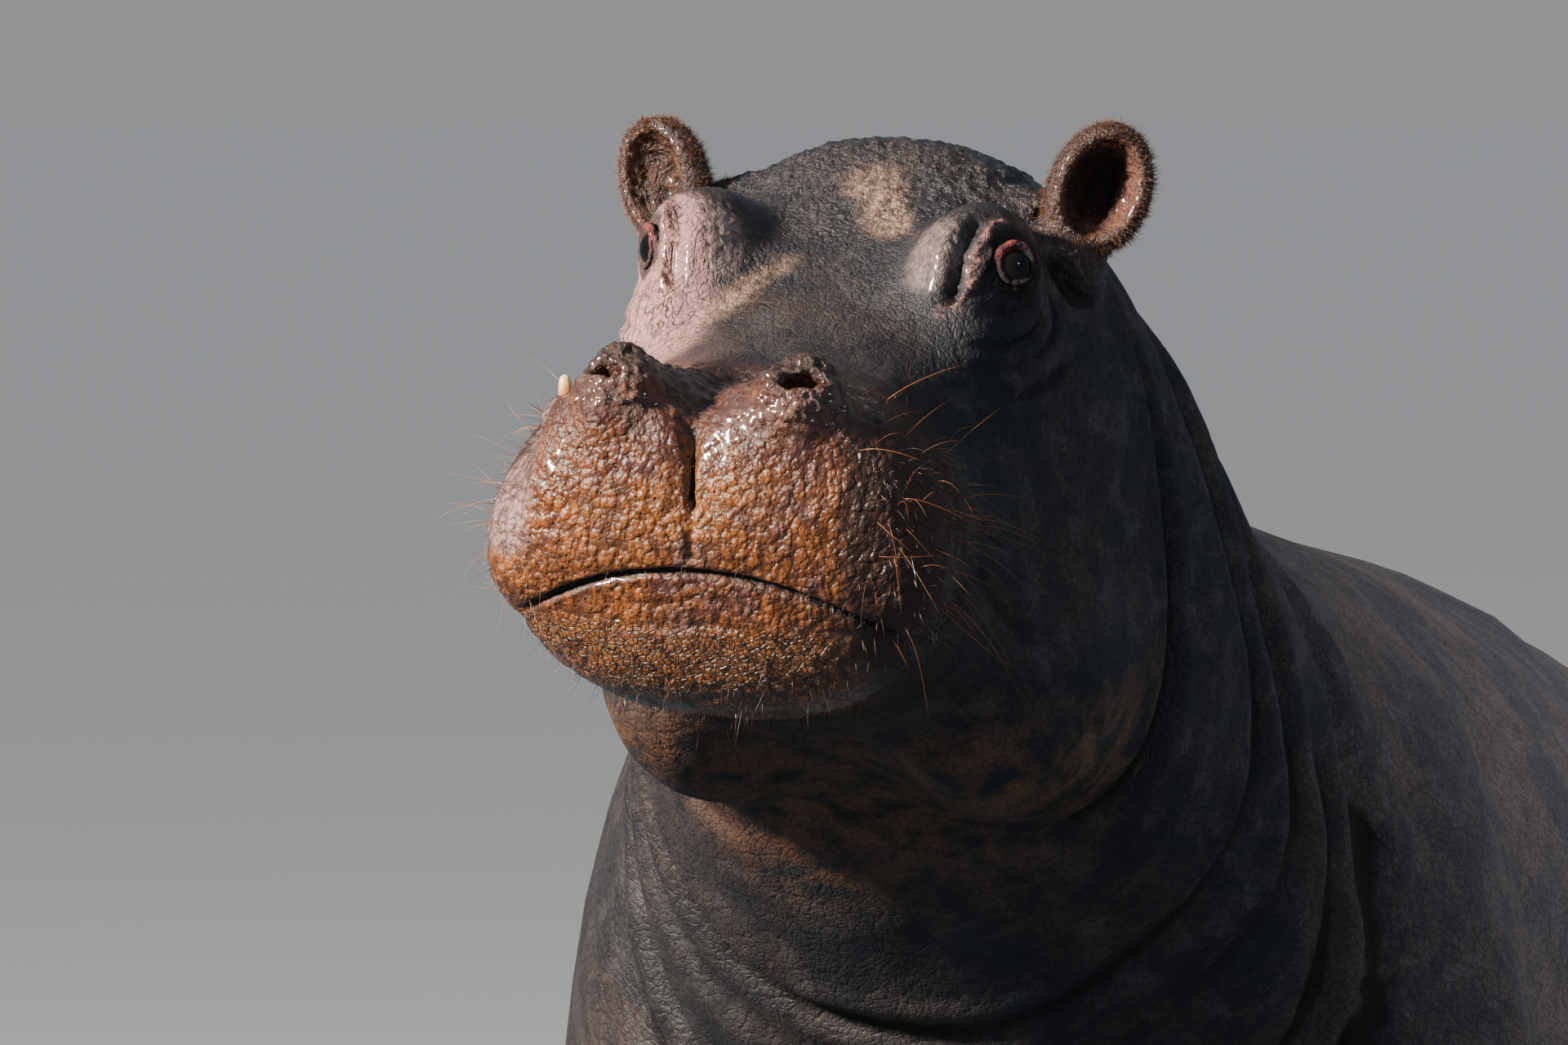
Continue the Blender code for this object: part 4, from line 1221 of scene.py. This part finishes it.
    gloss = w.span(wet, 0.38, 0.64, 0.54, 0.38) + fine * 0.2
    gloss = gloss + pink * 0.04 + pebbly * -0.16 + under * 0.12 + crown * -0.14
    gloss = gloss + beads * -0.14 + rim * 0.42 + cup * 0.25
    film = w.span(wet, 0.46, 0.7, 0.0, 0.1) + pebbly * w.span(rust, 0.0, 0.5, 0.1, 0.7)
    film = film + beads * 0.55 + pink * 0.25 + fold * 0.5
    dry = 1.0 - w.math("MAXIMUM", rim, cup)

    dome = w.math("MAXIMUM", 1.0 - pebble * pebble * 2.6, 0.0)
    small_dome = 1.0 - small_pebble * small_pebble * 1.6
    height = (
        plates["Height"] * smooth * 0.5
        + plaques["Height"] * smooth * 0.6
        + net["Height"] * smooth * 0.3
        + fine * 0.3
        + speck * smooth * 1.3
        + speck * crown * 3.2
        + small_dome * beads * smooth * 1.1
        + fine * beads * 2.6
        + speck * brow * 2.2
        + creases * pink * -1.6
        + strands * smooth * 0.45
        + rungs * fold * 4.5
        + dome * pebbly * (1.7 - chin * 1.3)
        + small_dome * pebbly * 0.6
        + speck * pebbly * 1.2
        + net["Height"] * chin * 1.6
        + w.span(pit, 0.06, 0.15) * pebbly * 1.3
    )
    w.dress(
        shader,
        Base_Color=tone,
        Roughness=gloss,
        Coat_Weight=film * dry + lid * 0.4,
        Coat_Roughness=0.11,
        Specular_IOR_Level=0.32,
        Normal=w.bump(height),
    )
    return material


def eye_material():
    """Dark wet eyeball with a wide pupil; turn is the angle from the gaze."""
    material, w, shader, here = new_material("wet eye")
    turn, streak = w.masks("turn round")
    vein = w.cells(w.shoved(here, 160.0, 0.004), 190.0, "DISTANCE_TO_EDGE")
    ray = w.noise(here, 900.0, 2.0, 0.6)
    white = w.mix(w.span(vein, 0.1, 0.02), (0.075, 0.036, 0.028), (0.12, 0.014, 0.01))
    tone = w.layered(
        (0.006, 0.003, 0.002),
        (w.span(ray * 0.7 + streak * 0.3, 0.35, 0.65), (0.003, 0.002, 0.002)),
        (w.span(turn, 0.56, 0.66), white),
        (w.span(turn, 0.36, 0.3), (0.002, 0.002, 0.002)),
        (w.span(turn, 0.52, 0.6) * w.span(turn, 0.74, 0.66), (0.012, 0.007, 0.005)),
    )
    w.dress(
        shader,
        Base_Color=tone,
        Roughness=w.span(vein, 0.08, 0.0) * 0.06 + 0.07,
        Specular_IOR_Level=0.3,
        Coat_Weight=0.8,
        Coat_Roughness=0.02,
        Normal=w.bump(w.noise(here, 300.0) * 0.12),
    )
    return material


def ivory_material():
    """Stained ivory: cream at the tip, orange where it leaves the gum."""
    material, w, shader, here = new_material("stained ivory")
    along = w.noise(w.place(here, (1, 1, 0.12)), 700.0, 4.0, 0.6)
    stain = w.noise(here, 130.0, 4.0, 0.6)
    tone = w.layered(
        (0.43, 0.15, 0.032),
        (w.span(w.mask("out") + stain * 0.5, 0.95, 1.36), (0.8, 0.6, 0.31)),
        (w.span(along, 0.52, 0.7, 0.0, 0.5), (0.25, 0.13, 0.05)),
    )
    w.dress(
        shader,
        Base_Color=tone,
        Roughness=w.span(stain, 0.3, 0.7, 0.22, 0.42),
        Coat_Weight=w.span(stain, 0.7, 0.3, 0.2, 0.6),
        Coat_Roughness=0.12,
        Normal=w.bump(along * 0.35),
    )
    return material


def horn_material():
    """Dark worn nail horn with growth lines."""
    material, w, shader, here = new_material("nail horn")
    lines = w.noise(w.place(here, (0.12, 0.12, 1)), 900.0, 3.0, 0.6)
    stain = w.noise(here, 90.0, 4.0, 0.6)
    scuff = w.noise(here, 420.0, 3.0, 0.7)
    tone = w.layered(
        (0.052, 0.036, 0.028),
        (w.span(stain, 0.36, 0.64), (0.15, 0.105, 0.072)),
        (w.span(lines, 0.5, 0.68, 0.0, 0.5), (0.26, 0.19, 0.13)),
        (w.span(scuff, 0.62, 0.76, 0.0, 0.5), (0.3, 0.25, 0.2)),
    )
    height = lines * 0.5 + scuff * 0.2
    rough = w.span(scuff, 0.35, 0.7, 0.34, 0.62)
    w.dress(shader, Base_Color=tone, Roughness=rough, Normal=w.bump(height))
    return material


def bristle_material(name, root, tip):
    """Horny hair: darker at the root, its colour uneven from one to the next."""
    material, w, shader, here = new_material(name)
    along, shade = w.masks("along shade")
    tone = w.layered(
        root,
        (w.span(along, 0.1, 0.85), tip),
        (shade * 0.6, (0.03, 0.014, 0.01)),
        (w.span(w.noise(here, 500.0), 0.5, 0.75, 0.0, 0.4), (0.5, 0.26, 0.12)),
    )
    w.dress(shader, Base_Color=tone, Roughness=w.span(shade, 0.0, 1.0, 0.26, 0.46))
    return material


def floor_material():
    material, w, shader, here = new_material("pale floor")
    tone = w.mix(w.noise(here, 0.7, 3.0), (0.81, 0.805, 0.795), (0.83, 0.825, 0.815))
    w.dress(shader, Base_Color=tone, Roughness=0.85, Specular_IOR_Level=0.0)
    return material


# ---------------------------------------------------------------- eyes, tusk, nails


def finished(name, bm, material, replaced=()):
    """Closes a bmesh into a piece that rides on the model."""
    bmesh.ops.recalc_face_normals(bm, faces=bm.faces)
    mesh = mesh_of(name, bm)
    mesh.materials.append(material)
    mesh.shade_smooth()
    piece = link(name, mesh)
    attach(piece, "root")
    if replaced:
        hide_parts(*replaced)
    return piece


def set_values(mesh, name, values):
    layer = mesh.attributes.new(name, "FLOAT", "POINT")
    layer.data.foreach_set("value", np.asarray(values, np.float32))


class HIPPO_OT_eyes(Operator):
    """Turns the two eyeballs, each with a bulging cornea"""

    bl_idname = "hippo.eyes"
    bl_label = "Eyes"

    def execute(self, context):
        material = eye_material()
        radius = context.scene.hippo_head.eye_radius - 0.0006
        for side, sign in SIDES.items():
            bm = bmesh.new()
            bmesh.ops.create_uvsphere(bm, u_segments=64, v_segments=40, radius=radius)
            turns, rounds = [], []
            for vert in bm.verts:
                unit = vert.co.normalized()
                turn = math.acos(max(-1.0, min(1.0, unit.z)))
                vert.co = unit * (radius + 0.0011 * math.exp(-((turn / 0.52) ** 2)))
                turns.append(turn)
                rounds.append(0.5 + math.atan2(unit.y, unit.x) / (2 * math.pi))
            facing = eye_frame(sign) @ Matrix.Rotation(math.radians(90), 4, "Y")
            bmesh.ops.transform(bm, matrix=facing, verts=bm.verts)
            piece = finished(f"eyeball_{side}", bm, material, [f"eye_{side}"])
            set_values(piece.data, "turn", turns)
            set_values(piece.data, "round", rounds)
        return {"FINISHED"}


class HIPPO_OT_tusk(Operator):
    """Carves the tip of the right tusk that pokes up through the lip"""

    bl_idname = "hippo.tusk"
    bl_label = "Tusk"

    def execute(self, context):
        bm = bmesh.new()
        bm.from_mesh(frame["nodes"]["tusk_right"].data)
        bmesh.ops.remove_doubles(bm, verts=bm.verts, dist=1e-5)
        bmesh.ops.subdivide_edges(bm, edges=bm.edges, cuts=2, use_grid_fill=True)
        bmesh.ops.smooth_vert(
            bm, verts=bm.verts, factor=0.4, use_axis_x=True, use_axis_y=True, use_axis_z=True
        )
        low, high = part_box("tusk_right")
        for vert in bm.verts:
            vert.co += vert.normal * 0.0006 * noise.noise(vert.co * Vector((160, 160, 40)))
        piece = finished("ivory_tip", bm, ivory_material(), ["tusk_right"])
        heights = [(v.co.z - low.z) / (high.z - low.z) for v in piece.data.vertices]
        set_values(piece.data, "out", heights)
        return {"FINISHED"}


class HIPPO_OT_nails(Operator):
    """Shapes the four blunt nails of each foot"""

    bl_idname = "hippo.nails"
    bl_label = "Nails"

    def execute(self, context):
        material = horn_material()
        for leg in LEGS:
            hub = foot_middle(leg)
            for name in nails_of(leg):
                low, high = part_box(name)
                spot = (low + high) / 2
                out = Vector((spot.x - hub.x, spot.y - hub.y, 0)).normalized()
                across = Vector((0, 0, 1)).cross(out)
                turn = Matrix((across, out, Vector((0, 0, 1)))).transposed().to_4x4()
                tall = (high.z - low.z) / 2
                bm = bmesh.new()
                bmesh.ops.create_uvsphere(bm, u_segments=32, v_segments=20, radius=1)
                for vert in bm.verts:
                    x, y, z = vert.co
                    flare = 1.0 - 0.16 * z
                    ridge = 1 + 0.03 * math.sin(15 * x) * max(0.0, y)
                    squared = math.copysign(abs(z) ** 0.82, z)
                    vert.co = (0.0245 * flare * x, 0.0128 * y * ridge, tall * max(-0.92, squared))
                lean = Matrix.Rotation(math.radians(-12), 4, "X")
                bmesh.ops.transform(bm, matrix=Matrix.Translation(spot) @ turn @ lean, verts=bm.verts)
                for vert in bm.verts:
                    vert.co.z = max(vert.co.z, low.z)
                finished("horn_" + name[5:], bm, material, [name])
        return {"FINISHED"}


# ---------------------------------------------------------------- bristles


class Surface:
    """The skin's points and faces, for planting bristles."""

    def __init__(self):
        mesh = bpy.data.objects["skin"].data
        self.points = column(mesh.vertices, "co").astype(float)
        self.normals = column(mesh.vertices, "normal").astype(float)
        self.faces = column(mesh.loops, "vertex_index", 1, np.int32).reshape(-1, 3)
        a, b, c = (self.points[self.faces[:, k]] for k in range(3))
        self.area = 0.5 * np.linalg.norm(np.cross(b - a, c - a), axis=1)
        self.centre = (a + b + c) / 3

    def planted(self, chance, count, rng):
        """Roots and normals of this many bristles, spread by area and chance."""
        weight = self.area * chance
        chosen = rng.choice(len(weight), count, p=weight / weight.sum())
        u, v = rng.random((2, count))
        flip = u + v > 1
        u[flip], v[flip] = 1 - u[flip], 1 - v[flip]
        share = np.stack([1 - u - v, u, v], axis=1)[:, :, None]
        corners = self.faces[chosen]
        roots = (self.points[corners] * share).sum(axis=1)
        normals = (self.normals[corners] * share).sum(axis=1)
        return roots, normals / np.linalg.norm(normals, axis=1)[:, None]


class Bed:
    """Bristles planted from one seed, with a random draw for each."""

    def __init__(self, surface, seed, chance, count):
        self.rng = np.random.default_rng(seed)
        self.roots, self.normals = surface.planted(chance, count, self.rng)

    def stray(self, amount):
        """A random shift each."""
        return self.rng.normal(size=self.normals.shape) * amount

    def between(self, low, high):
        return self.rng.uniform(low, high, len(self.roots))

    def few(self, extra, most):
        """The extra for the few whose draw is above most, and 0 for the rest."""
        return extra * (self.rng.random(len(self.roots)) > most)


def unit(vectors):
    return vectors / np.maximum(np.linalg.norm(vectors, axis=1), 1e-9)[:, None]


def round_unwrap(frame, low, high):
    """Unwraps round the frame's Y axis: along it is V, round it is U."""

    def unwrap(points):
        x, y, z = seen_from(frame, points).T
        u = 0.5 + np.arctan2(x, z) / (2 * np.pi)
        v = np.clip((y - low) / (high - low), 0, 1)
        return np.stack([0.02 + 0.96 * (u % 1.0), 0.02 + 0.96 * v], axis=1)

    return unwrap


def tufts(name, bed, ways, lengths, widths, bends, unwrap, material, rings=4):
    """One mesh of tapered three-sided bristles that bend from their first way by the bend."""
    roots = bed.roots
    count = len(roots)
    ways = unit(ways)
    side = unit(np.cross(ways, unit(bed.stray(1))))
    third = np.cross(ways, side)
    along = np.linspace(0, 1, rings)
    spine = (
        roots[:, None]
        + ways[:, None] * (along[None, :, None] * lengths[:, None, None])
        + bends[:, None] * (along[None, :, None] ** 2 * lengths[:, None, None])
    )
    spine[:, 0] -= ways * ROOT_DEPTH
    girth = widths[:, None] * (1 - 0.88 * along[None] ** 1.3)
    points = np.empty((count, rings, 3, 3))
    for corner in range(3):
        a = 2 * np.pi * corner / 3
        spoke = side * math.cos(a) + third * math.sin(a)
        points[:, :, corner] = spine + spoke[:, None] * girth[:, :, None]
    quads = []
    for low in range(0, 3 * rings - 3, 3):
        for corner, after in ((0, 1), (1, 2), (2, 0)):
            quads.append((low + corner, low + after, low + 3 + after, low + 3 + corner))
    base = np.arange(count)[:, None, None] * rings * 3
    faces = (np.array(quads)[None] + base).reshape(-1, 4)
    last = 3 * rings - 3
    caps = (np.array([[last, last + 1, last + 2], [2, 1, 0]])[None] + base).reshape(-1, 3)
    mesh = bpy.data.meshes.new(name)
    mesh.from_pydata(points.reshape(-1, 3).tolist(), [], faces.tolist() + caps.tolist())
    of_tuft, within = np.divmod(column(mesh.loops, "vertex_index", 1, np.int32)[:, 0], rings * 3)
    across = np.array([(0, 0), (PATCH / 2, 0), (PATCH, 0)])[within % 3]
    across[:, 1] = PATCH * (within // 3) / (rings - 1)
    uv = mesh.uv_layers.new(name="OFBake")
    uv.data.foreach_set("uv", (unwrap(roots)[of_tuft] + across).astype(np.float32).ravel())
    set_values(mesh, "along", np.tile(np.repeat(along, 3), count))
    set_values(mesh, "shade", np.repeat(bed.rng.random(count), rings * 3))
    mesh.materials.append(material)
    mesh.shade_smooth()
    piece = link(name, mesh)
    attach(piece, "root")
    return piece


class HIPPO_OT_bristles(Operator):
    """Plants the bristles of muzzle, ears and tail"""

    bl_idname = "hippo.bristles"
    bl_label = "Bristles"

    def execute(self, context):
        counts = context.scene.hippo_bristles
        surface = Surface()
        dark = bristle_material("dark bristle", counts.dark, (0.06, 0.03, 0.02))
        self.muzzle(surface, counts, dark)
        brown = bristle_material("ear hair", (0.06, 0.022, 0.014), (0.19, 0.07, 0.034))
        for name, sign in SIDES.items():
            self.ear(surface, counts, name, sign, brown)
        self.tail(surface, counts, dark)
        return {"FINISHED"}

    def muzzle(self, surface, counts, dark):
        """Short bristles all over, pale stubs at the sides, and long whiskers."""
        red = bristle_material("red bristle", counts.red, (0.42, 0.15, 0.06))
        pale = bristle_material("pale bristle", (0.15, 0.1, 0.08), (0.42, 0.33, 0.27))
        head = head_frame()
        turn = np.array(head.to_3x3())
        rear, down = turn[:, 1], -turn[:, 2]
        side, back, up = seen_from(head, surface.centre).T
        wide = np.abs(side)
        unwrap = round_unwrap(head, -0.05, 1.1)

        chance = ramp(back, 0.26, 0.12) * ramp(up, 0.17, 0.1)
        chance = chance + 0.5 * ramp(up, -0.05, -0.09) * ramp(back, 0.45, 0.2)
        bed = Bed(surface, 11, chance, counts.muzzle)
        ways = bed.normals + 0.35 * down + bed.stray(0.22)
        lengths = bed.between(0.005, 0.02) + bed.few(0.016, 0.88)
        widths = bed.between(0.00022, 0.00045)
        bends = 0.15 * down + bed.stray(0.12)
        tufts("muzzle_bristles", bed, ways, lengths, widths, bends, unwrap, dark)

        chance = ramp(wide, 0.15, 0.2) * ramp(back, 0.22, 0.14) * ramp(up, 0.14, 0.08)
        bed = Bed(surface, 13, chance * ramp(up, -0.13, -0.07), counts.stubs)
        ways = bed.normals + 0.9 * down + bed.stray(0.3)
        lengths = bed.between(0.004, 0.011)
        widths = bed.between(0.0003, 0.0005)
        tufts("pale_stubs", bed, ways, lengths, widths, bed.stray(0.15), unwrap, pale)

        chance = ramp(wide, 0.13, 0.18) * ramp(back, 0.22, 0.13) * ramp(up, 0.2, 0.15)
        bed = Bed(surface, 12, chance * ramp(up, -0.09, -0.02), 2 * counts.whiskers)
        ways = bed.normals + 0.25 * rear + bed.stray(0.25)
        lengths = bed.between(0.025, 0.08)
        bends = 0.45 * down + 0.25 * rear + bed.stray(0.22)
        widths = bed.between(0.00023, 0.00046)
        tufts("whiskers", bed, ways, lengths, widths, bends, unwrap, red, 8)

    def ear(self, surface, counts, name, sign, brown):
        """Hair that stands on the rim and thins out towards the cup."""
        place = ear_frame(sign)
        x, y, z = seen_from(place, surface.centre).T
        wide, _, tall = EAR_SIZE
        spread = np.sqrt((x / wide) ** 2 + (z / tall) ** 2)
        rim = (0.25 + hill(spread - 0.9, 0.18)) * (np.abs(y) < 0.045) * (spread < 1.2) * (z > -0.06)
        rim = rim * (1 - 0.85 * ramp(-y, -0.01, -0.002) * (spread < 0.7))
        bed = Bed(surface, 20 + sign, rim + 1e-9, counts.ear)
        x, y, z = seen_from(place, bed.roots).T
        outward = np.stack([x / wide, np.full(len(x), -0.25), z / tall], axis=1)
        outward = unit(outward) @ np.array(place.to_3x3()).T
        ways = 0.8 * bed.normals + 0.9 * outward + bed.stray(0.25)
        lengths = bed.between(0.0025, 0.0075) + bed.few(0.006, 0.95)
        widths = bed.between(0.00016, 0.00032)
        unwrap = round_unwrap(place @ UPRIGHT, -0.1, 0.1)
        tufts(f"ear_hair_{name}", bed, ways, lengths, widths, bed.stray(0.16), unwrap, brown)

    def tail(self, surface, counts, dark):
        low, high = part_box("tail")
        x, y, z = surface.centre.T
        chance = ramp(y, high.y - 0.12, high.y - 0.04) * ramp(z, low.z + 0.2, low.z + 0.08)
        bed = Bed(surface, 31, chance + 1e-12, counts.tail)
        ways = bed.normals + np.array((0, -0.1, -0.9)) + bed.stray(0.15)
        lengths = bed.between(0.015, 0.035)
        bends = np.array((0, 0, -0.35)) + bed.stray(0.1)
        widths = bed.between(0.0006, 0.001)
        unwrap = round_unwrap(Matrix.Translation(middle("tail")) @ UPRIGHT, -0.4, 0.4)
        tufts("tail_bristles", bed, ways, lengths, widths, bends, unwrap, dark)


# ---------------------------------------------------------------- stage


def direction(azimuth, elevation):
    """Towards a place round the animal: azimuth 0 is straight ahead of it, positive to its left."""
    level = math.cos(elevation)
    return Vector((math.sin(azimuth) * level, -math.cos(azimuth) * level, math.sin(elevation)))


def lamp(name, azimuth, elevation, distance, size, power, tint, aim, spread=180, shine=True):
    """A soft round lamp, its angles in degrees."""
    towards = direction(math.radians(azimuth), math.radians(elevation))
    data = bpy.data.lights.new(name, "AREA")
    data.shape = "DISK"
    data.size = size
    data.energy = power
    data.spread = math.radians(spread)
    data.color = tint
    made = link(name, data)
    made.visible_glossy = shine
    made.location = aim + towards * distance
    made.rotation_euler = towards.to_track_quat("Z", "Y").to_euler()


class HIPPO_OT_stage(Operator):
    """Sets the floor, the soft lamps and the camera"""

    bl_idname = "hippo.stage"
    bl_label = "Stage"

    def execute(self, context):
        view = context.scene.hippo_stage
        self.lay_floor(view.floor)
        mouth = head_frame().translation
        self.set_camera(context.scene, view, mouth)
        key = view.key
        barrel = Vector((0, 1.1, 0.75))
        lamp("key", -59, 26, 5.0, 0.8, key, (1.0, 0.9, 0.76), mouth)
        lamp("fill", 50, 22, 8.0, 4.0, 0.075 * key, (0.66, 0.82, 1.0), mouth, shine=False)
        lamp("catch", 50, 24, 8.0, 1.0, 0.016 * key, (0.8, 0.9, 1.0), mouth)
        lamp("flank", 105, 32, 5.5, 2.0, 0.035 * key, (0.86, 0.93, 1.0), barrel, 48, False)
        context.scene.world = self.soft_room()
        return {"FINISHED"}

    def lay_floor(self, radius):
        bm = bmesh.new()
        bmesh.ops.create_circle(bm, cap_ends=True, segments=96, radius=radius)
        mesh = mesh_of("floor", bm)
        mesh.materials.append(floor_material())
        floor = link("floor", mesh)
        # The floor shows and takes shadows, but throws no light back up under the wet hide.
        floor.visible_diffuse = False
        floor.visible_glossy = False

    def set_camera(self, scene, view, mouth):
        back = direction(view.azimuth, view.elevation)
        right = Vector((math.cos(view.azimuth), math.sin(view.azimuth), 0))
        aim = mouth + right * view.aim_right + back.cross(right) * view.aim_up
        data = bpy.data.cameras.new("camera")
        data.lens = view.lens
        data.clip_end = 1000
        camera = link("camera", data)
        camera.location = aim + back * view.distance
        camera.rotation_euler = back.to_track_quat("Z", "Y").to_euler()
        scene.camera = camera

    def soft_room(self):
        """Light from all round; a dimmer room in the gloss keeps the wet hide dark."""
        world = bpy.data.worlds.new("soft room")
        world.use_nodes = True
        tree = world.node_tree
        rays = tree.nodes.new("ShaderNodeLightPath").outputs
        room = tree.nodes["Background"]
        room.inputs["Color"].default_value = (0.9, 0.94, 1.0, 1.0)
        room.inputs["Strength"].default_value = 0.4
        shown = room.outputs[0]
        for ray, tint, strength in (
            ("Is Glossy Ray", (0.66, 0.82, 1.0, 1.0), 0.16),
            ("Is Camera Ray", (0.74, 0.765, 0.8, 1.0), 0.4),
        ):
            light = tree.nodes.new("ShaderNodeBackground")
            light.inputs["Color"].default_value = tint
            light.inputs["Strength"].default_value = strength
            seen = tree.nodes.new("ShaderNodeMixShader")
            for socket, source in zip(seen.inputs, (rays[ray], shown, light.outputs[0])):
                tree.links.new(source, socket)
            shown = seen.outputs[0]
        tree.links.new(shown, tree.nodes["World Output"].inputs[0])
        return world


# ---------------------------------------------------------------- add-on


class HIPPO_PT_panel(Panel):
    """Lists the pieces"""

    bl_label = "Hippopotamus"
    bl_space_type = "VIEW_3D"
    bl_region_type = "UI"
    bl_category = "Hippo"

    def draw(self, context):
        scene = context.scene
        for title, group in (
            ("Head", scene.hippo_head),
            ("Skin", scene.hippo_skin),
            ("Bristles", scene.hippo_bristles),
            ("Stage", scene.hippo_stage),
        ):
            box = self.layout.box()
            box.label(text=title)
            for name in group.__annotations__:
                box.prop(group, name)
        for operator in OPERATORS:
            self.layout.operator(operator.bl_idname)


GROUPS = {
    "hippo_head": HIPPO_PG_head,
    "hippo_skin": HIPPO_PG_skin,
    "hippo_bristles": HIPPO_PG_bristles,
    "hippo_stage": HIPPO_PG_stage,
}
OPERATORS = (
    HIPPO_OT_skin,
    HIPPO_OT_eyes,
    HIPPO_OT_tusk,
    HIPPO_OT_nails,
    HIPPO_OT_bristles,
    HIPPO_OT_stage,
)
CLASSES = (*GROUPS.values(), *OPERATORS, HIPPO_PT_panel)


def register():
    for made in CLASSES:
        bpy.utils.register_class(made)
    for name, group in GROUPS.items():
        setattr(bpy.types.Scene, name, PointerProperty(type=group))


def unregister():
    for name in GROUPS:
        delattr(bpy.types.Scene, name)
    for made in reversed(CLASSES):
        bpy.utils.unregister_class(made)


def main():
    register()
    bpy.ops.hippo.skin()
    bpy.ops.hippo.eyes()
    bpy.ops.hippo.tusk()
    bpy.ops.hippo.nails()
    bpy.ops.hippo.bristles()
    bpy.ops.hippo.stage()


if __name__ == "__main__":
    main()
